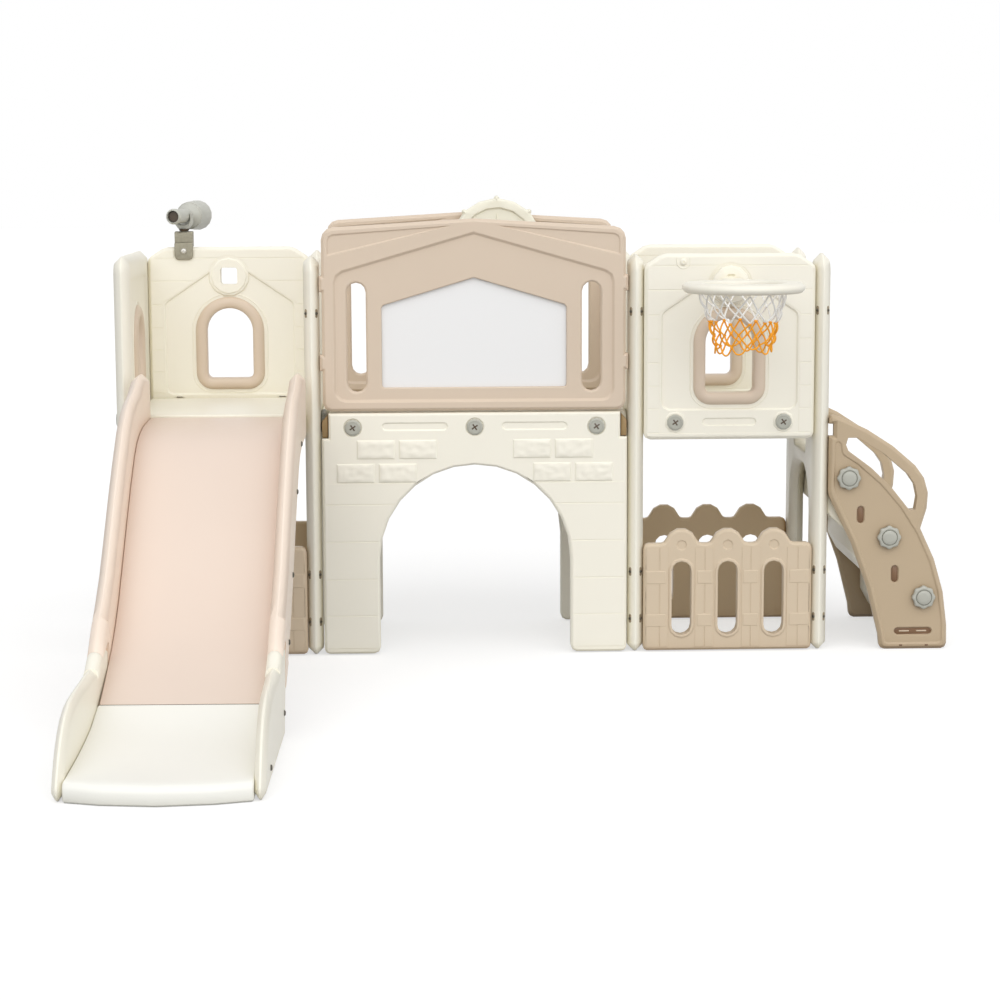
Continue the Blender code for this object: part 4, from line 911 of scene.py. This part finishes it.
def add_bolt_faces():
    """What shows on a bolt's head: a raised ring, and the bars of a cross recess."""
    ring = cord(round_ring(0.0150, 0.0056, 32), 0.0011, closed=True, sides=6, lobe=0.0)
    arm, half = 0.0085, 0.0017
    corners = [(half, half), (arm, half), (arm, -half), (half, -half), (half, -arm), (-half, -arm)]
    corners += [(-half, -half), (-arm, -half), (-arm, half), (-half, half), (-half, arm), (half, arm)]
    cross = placed(plate(reversed(corners), 0.0004, 0.0002), Matrix.Rotation(0.6, 4, "Z"))
    rings = Shape()
    crosses = Shape()
    spots = [(BRIDGE_MIDDLE + aside, 0.0035, ARCH_BOLT_UP) for aside in ARCH_BOLTS]
    spots += [(RIGHT_MIDDLE + aside, -0.002, WALL_BOLT_UP) for aside in WALL_BOLTS]
    for across, back, up in spots:
        place = Matrix.Translation(at(across, back, up)) @ TO_FRONT
        rings.join(ring, place)
        crosses.join(cross, place @ Matrix.Translation((0, 0, 0.0065)))
    rings.piece("bolt_rings", "grey")
    crosses.piece("bolt_cross_recesses", "dark")


# A hand knob from its screw to its cap: radius, level, and how deep the valleys between its lobes are
KNOB_PROFILE = (
    (0.0058, 0.0006, 0), (0.0270, 0.0006, 0.001925), (0.0298, 0.0030, 0.003025),
    (0.0300, 0.0075, 0.0033), (0.0296, 0.0110, 0.003025), (0.0270, 0.0134, 0.0022),
    (0.0225, 0.0142, 0.00055), (0.0205, 0.0140, 0), (0.0195, 0.0120, 0), (0.0185, 0.0120, 0),
    (0.0178, 0.0150, 0), (0.0150, 0.0168, 0), (0.0075, 0.0175, 0), (0.0005, 0.0175, 0),
)
KNOB_HEAD = 0.018

# For each word in a knob's name: its turn, the axis that it points along, and the box's end it is at
KNOB_FACINGS = {
    "front": (TO_FRONT, 1, 0), "back": (TO_BACK, 1, 1),
    "left": (TO_LEFT, 0, 0), "inner": (TO_RIGHT, 0, 1),
}


def knob_form(length):
    """A hand knob: eight soft lobes, a sunk ring and a low round cap, on its screw."""
    profile = ((0.0058, -length, 0), *KNOB_PROFILE)
    return loops([round_ring(radius, level, 64, valley) for radius, level, valley in profile])


def add_knobs():
    for name in frame["nodes"]:
        if "knob" not in name:
            continue
        turn, axis, end = next(KNOB_FACINGS[word] for word in KNOB_FACINGS if word in name)
        head = middle(name)
        head[axis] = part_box(name)[end][axis] + (-KNOB_HEAD if end else KNOB_HEAD)
        length = 0.041 if name.startswith("climber") else 0.035
        knob = placed(knob_form(length), Matrix.Translation(head) @ turn)
        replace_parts(knob.piece(f"{name}_fluted", "grey", smooth=40), name)


def add_studs():
    """The bracket's screw, the stud beside the hoop and the walls' bolt ears above the decks."""
    bracket = Matrix.Translation(at(LEFT_MIDDLE - 0.1165, 0.417, 0.999)) @ TO_FRONT
    placed(screw(0.0080, 0.0050), bracket).piece("bright_studs", "grey", material=BRIGHT)
    moulded = Shape()
    stud = Matrix.Translation(at(RIGHT_MIDDLE - 0.117, 0.0004, 0.981)) @ TO_FRONT
    moulded.join(screw(0.0085, 0.0045), stud)
    cup_radius, cup_rim = 0.0165, 0.0095
    ends = [Vector((side * cup_radius, cup_rim, 0)) for side in (-1, 1)]
    cup = [ends[0], *arc(cup_radius, 180, 180, 10), ends[1]]
    moulded.join(cord(cup, 0.0014, lobe=0.0), stud)
    slits = Shape()
    ear = plate([point.xy for point in arc(0.0270, 59, 56, 8)], 0.0030, 0.0012)
    slit = plate(oblong(-0.0080, 0.0232, 0.0080, 0.0250), 0.0034, 0.0002)
    for across in (LEFT_MIDDLE, RIGHT_MIDDLE):
        for aside in WALL_BOLTS:
            place = Matrix.Translation(at(across + aside, BACK_INSIDE, 0.5905)) @ TO_FRONT
            moulded.join(ear, place)
            slits.join(slit, place)
    moulded.piece("moulded_studs", "cream")
    slits.piece("bolt_slits", "dark")


def stadium(x, y, wide, high):
    """A round-ended oblong about a point."""
    radius = min(wide, high) / 2
    points = []
    for step in range(16):
        angle = 2 * math.pi * (step + 0.5) / 16
        across = math.copysign(wide / 2 - radius, math.cos(angle))
        up = math.copysign(high / 2 - radius, math.sin(angle))
        points.append((x + across + radius * math.cos(angle), y + up + radius * math.sin(angle)))
    return points


# The sunk marks on a climber's side: across, up, wide and high. Two short slits lie under the lowest
LOWEST_MARK = (1.975, 0.046)
CLIMBER_MARKS = (
    (1.837, 0.345, 0.017, 0.043),
    (1.926, 0.193, 0.017, 0.043),
    (*LOWEST_MARK, 0.095, 0.017),
)
CLIMBER_SUNK = 0.0070
CLIMBER_SLITS = (1.944, 2.0095)


def add_climber_marks():
    """Dark plates of painted shade on the floors of the sunk marks on the climber's sides, and the dashes in
    the lowest one.
    """
    floors = Shape()
    dashes = Shape()
    for back, turn, sign in ((CLIMBER_SUNK, TO_FRONT, 1), (FRAME_DEPTH - CLIMBER_SUNK, TO_BACK, -1)):
        place = Matrix.Translation(at(0, back, 0)) @ turn
        for x, y, wide, high in CLIMBER_MARKS:
            floors.join(plate(stadium(sign * x, y, wide, high), 0.0004, 0.0003), place)
        x, y = LOWEST_MARK
        for aside in (-0.022, 0.022):
            dashes.join(plate(stadium(sign * x + aside, y, 0.026, 0.0035), 0.0009, 0.0003), place)
        face = Matrix.Translation(at(0, back - sign * 0.0069, 0)) @ turn
        for x in CLIMBER_SLITS:
            slit = oblong(sign * x - 0.004, 0.0085, sign * x + 0.004, 0.0125)
            floors.join(plate(slit, 0.0003, 0.0002), face)
    floors.piece("climber_mark_floors", "dark", material=SLOT_PAINTED_SHADE)
    dashes.piece("climber_dashes", "tan")


def add_corner_lugs():
    """The brackets behind the notches at the front arch's upper corners. Their olive colour is painted shade:
    the cream of the deck's ends as it looks in the shade there.
    """
    place = Matrix.Translation(at(BRIDGE_MIDDLE, 0.0300, 0)) @ TO_FRONT
    inner, outer = 0.3645, 0.3795
    lugs = Shape()
    for sign in (-1, 1):
        corners = [(inner, 0.5500), (outer, 0.5500), (outer, 0.5900), (inner, 0.6080)]
        corners = [(sign * x, y) for x, y in corners][::sign]
        lugs.join(plate(corners, 0.0200, 0.0015), place)
    lugs.piece("arch_corner_lugs", "tan", material=LUG_PAINTED_SHADE)


add_climber_marks()
add_corner_lugs()
add_post_bolts()
add_bolt_faces()
add_knobs()
add_studs()


# The net

# The middle of the rim, the height that the net hangs from, its cord's radius and its columns
RIM_BACK = -0.240
NET_TOP = 0.9136
CORD = 0.0022
COLUMNS = 12

# The radius and the fall of each course's knots. The white courses end where the orange ones start
WHITE_LEVELS = ((0.1030, -0.004), (0.0905, 0.034), (0.0810, 0.064))
ORANGE_LEVELS = ((0.0810, 0.066), (0.0735, 0.096), (0.0680, 0.120))


def unrest(seed, amount):
    """A small offset that looks uneven and is the same in each run."""
    return amount * math.sin(seed * 12.9898 + 4.1) * math.cos(seed * 7.233)


def net_point(column, level, radius, fall):
    """A knot of the net, a little off its even place."""
    seed = column * 5.37 + level * 17.1
    angle = 2 * math.pi * (column + unrest(seed, 0.10)) / COLUMNS
    reach = radius + unrest(seed + 2.2, 0.004)
    drop = fall + unrest(seed + 4.7, 0.004)
    return at(RIGHT_MIDDLE + reach * math.cos(angle), RIM_BACK + reach * math.sin(angle), NET_TOP - drop)


def hung(start, end, sag, out):
    """A slack strand between two knots: it sags, and bows away from the middle of the ring."""
    centre = at(RIGHT_MIDDLE, RIM_BACK, 0)
    halfway = (start + end) / 2
    outward = Vector((halfway.x - centre.x, halfway.y - centre.y, 0)).normalized()
    bend = halfway + outward * out - Vector((0, 0, sag))
    bulge = (bend - halfway) * 0.3
    return eased([start, (start + bend) / 2 + bulge, bend, (end + bend) / 2 + bulge, end], 3)


def knot(place, radius):
    """A hitch where two cords cross: a small uneven lump with a turn of cord round it."""
    rings = []
    for step in range(1, 6):
        lean = math.pi * step / 6 - math.pi / 2
        rings.append(round_ring(radius * math.cos(lean), radius * 1.15 * math.sin(lean), 10, radius * 0.2, 3))
    shape = placed(loops(rings), Matrix.Translation(place))
    turns = [
        place + Vector((radius * 1.02 * math.cos(a), radius * 1.02 * math.sin(a), 0.0012 * math.sin(a)))
        for a in (2 * math.pi * step / 10 for step in range(10))
    ]
    shape.join(cord(turns, 0.0014, closed=True, sides=6))
    return shape


def net_course(levels, first):
    """Courses of open diamonds between levels. Knots of odd levels lie between the even ones."""
    shape = Shape()
    for index in range(len(levels) - 1):
        aside = (first + index) % 2 / 2
        for column in range(COLUMNS):
            upper = net_point(column + aside, first + index, *levels[index])
            for side in (-0.5, 0.5):
                below = (column + aside + side) % COLUMNS
                lower = net_point(below, first + index + 1, *levels[index + 1])
                slack = unrest(column * 3.1 + side + index * 9.7, 0.002)
                shape.join(cord(hung(upper, lower, 0.001 + slack, 0.0035 + slack), CORD))
    return shape


def add_net():
    white = net_course(WHITE_LEVELS, 0)
    for column in range(COLUMNS):
        white.join(knot(net_point(column + 0.5, 1, *WHITE_LEVELS[1]), 0.0032))
    upper = white.piece("net_upper_cords", "white_cord", smooth=60)
    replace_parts(upper, "net_upper")
    orange = net_course(ORANGE_LEVELS, 2)
    for column in range(COLUMNS):
        orange.join(knot(net_point(column, 2, *ORANGE_LEVELS[0]), 0.0036))
        orange.join(knot(net_point(column + 0.5, 3, *ORANGE_LEVELS[1]), 0.0032))
        left = net_point(column, 4, *ORANGE_LEVELS[2])
        right = net_point((column + 1) % COLUMNS, 4, *ORANGE_LEVELS[2])
        orange.join(knot(left, 0.0030))
        depth = 0.016 + unrest(column * 2.9, 0.012)
        orange.join(cord(hung(left, right, depth, 0.002), CORD))
    lower = orange.piece("net_lower_cords", "orange_cord", smooth=60)
    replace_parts(lower, "net_lower")


add_net()


# Camera, floor and light

# The camera's place, and its turns in radians. Its focal length is in pixels of a picture 1000 wide
CAMERA_PLACE = at(0.7262, -5.9247, 1.2302)
YAW, PITCH, ROLL = 0.0343, 0.1406, -0.0042
FOCAL_PIXELS = 2396.6
PICTURE_WIDTH = 1000

# Strengths as the camera sees them and as light: the world, and the floor's own glow
WORLD_SEEN, WORLD_LIT = 1.0, 0.50
FLOOR_SEEN, FLOOR_LIT = 0.58, 0.0
FLOOR_HALF = 40.0


def add_camera():
    forward = Vector(
        (math.sin(YAW) * math.cos(PITCH), math.cos(YAW) * math.cos(PITCH), -math.sin(PITCH))
    )
    level = Vector((math.cos(YAW), -math.sin(YAW), 0))
    upright = level.cross(forward)
    right = level * math.cos(ROLL) + upright * math.sin(ROLL)
    up = upright * math.cos(ROLL) - level * math.sin(ROLL)
    data = bpy.data.cameras.new("camera")
    data.sensor_width = 36.0
    data.lens = FOCAL_PIXELS / PICTURE_WIDTH * data.sensor_width
    data.clip_end = 60.0
    camera = bpy.data.objects.new("camera", data)
    bpy.context.scene.collection.objects.link(camera)
    spin = Matrix((right, up, -forward)).transposed().to_4x4()
    camera.matrix_world = Matrix.Translation(CAMERA_PLACE) @ spin
    bpy.context.scene.camera = camera


def add_sun(name, towards, strength, softness):
    """A lamp as even as daylight, so that the floor is one tone all over."""
    data = bpy.data.lights.new(name, "SUN")
    data.energy = strength
    data.angle = math.radians(softness)
    lamp = bpy.data.objects.new(name, data)
    bpy.context.scene.collection.objects.link(lamp)
    lamp.rotation_mode = "QUATERNION"
    lamp.rotation_quaternion = Vector(towards).to_track_quat("-Z", "Y")


def seen_or_lit(tree, seen, lit):
    """A strength: one value for what the camera, glass and gloss see, another as light."""
    path = node(tree, "ShaderNodeLightPath").outputs
    shows = sums(tree, "ADD", path["Is Camera Ray"], path["Is Glossy Ray"])
    shows = node(
        tree, "ShaderNodeMath", {0: shows, 1: path["Is Transmission Ray"]}, operation="ADD", use_clamp=True
    ).outputs[0]
    return ranged(tree, shows, lit, seen)


def add_world():
    world = bpy.data.worlds.new("studio")
    bpy.context.scene.world = world
    world.use_nodes = True
    tree = world.node_tree
    sky = tree.nodes["Background"]
    sky.inputs["Color"].default_value = (1.0, 1.0, 1.0, 1.0)
    tree.links.new(seen_or_lit(tree, WORLD_SEEN, WORLD_LIT), sky.inputs["Strength"])


def add_floor():
    data = bpy.data.meshes.new("floor")
    corners = oblong(-FLOOR_HALF, -FLOOR_HALF, FLOOR_HALF, FLOOR_HALF)
    data.from_pydata([(x, y, -0.0005) for x, y in corners], [], [(0, 1, 2, 3)])
    ground = bpy.data.objects.new("floor", data)
    bpy.context.scene.collection.objects.link(ground)
    material = bpy.data.materials.new("studio floor")
    material.use_nodes = True
    tree = material.node_tree
    shader = tree.nodes["Principled BSDF"]
    shader.inputs["Base Color"].default_value = (0.50, 0.50, 0.50, 1.0)
    shader.inputs["Roughness"].default_value = 0.9
    shader.inputs["Specular IOR Level"].default_value = 0.0
    shader.inputs["Emission Color"].default_value = (1.0, 1.0, 1.0, 1.0)
    tree.links.new(seen_or_lit(tree, FLOOR_SEEN, FLOOR_LIT), shader.inputs["Emission Strength"])
    data.materials.append(material)


add_camera()
add_world()
add_floor()
add_sun("key", (1.4, 3.6, -3.2), 1.10, 60)
add_sun("fill", (-3.0, 3.6, -2.4), 1.05, 70)
add_sun("top", (0, 0.4, -4.0), 0.25, 70)
bpy.context.scene.view_settings.view_transform = "Standard"
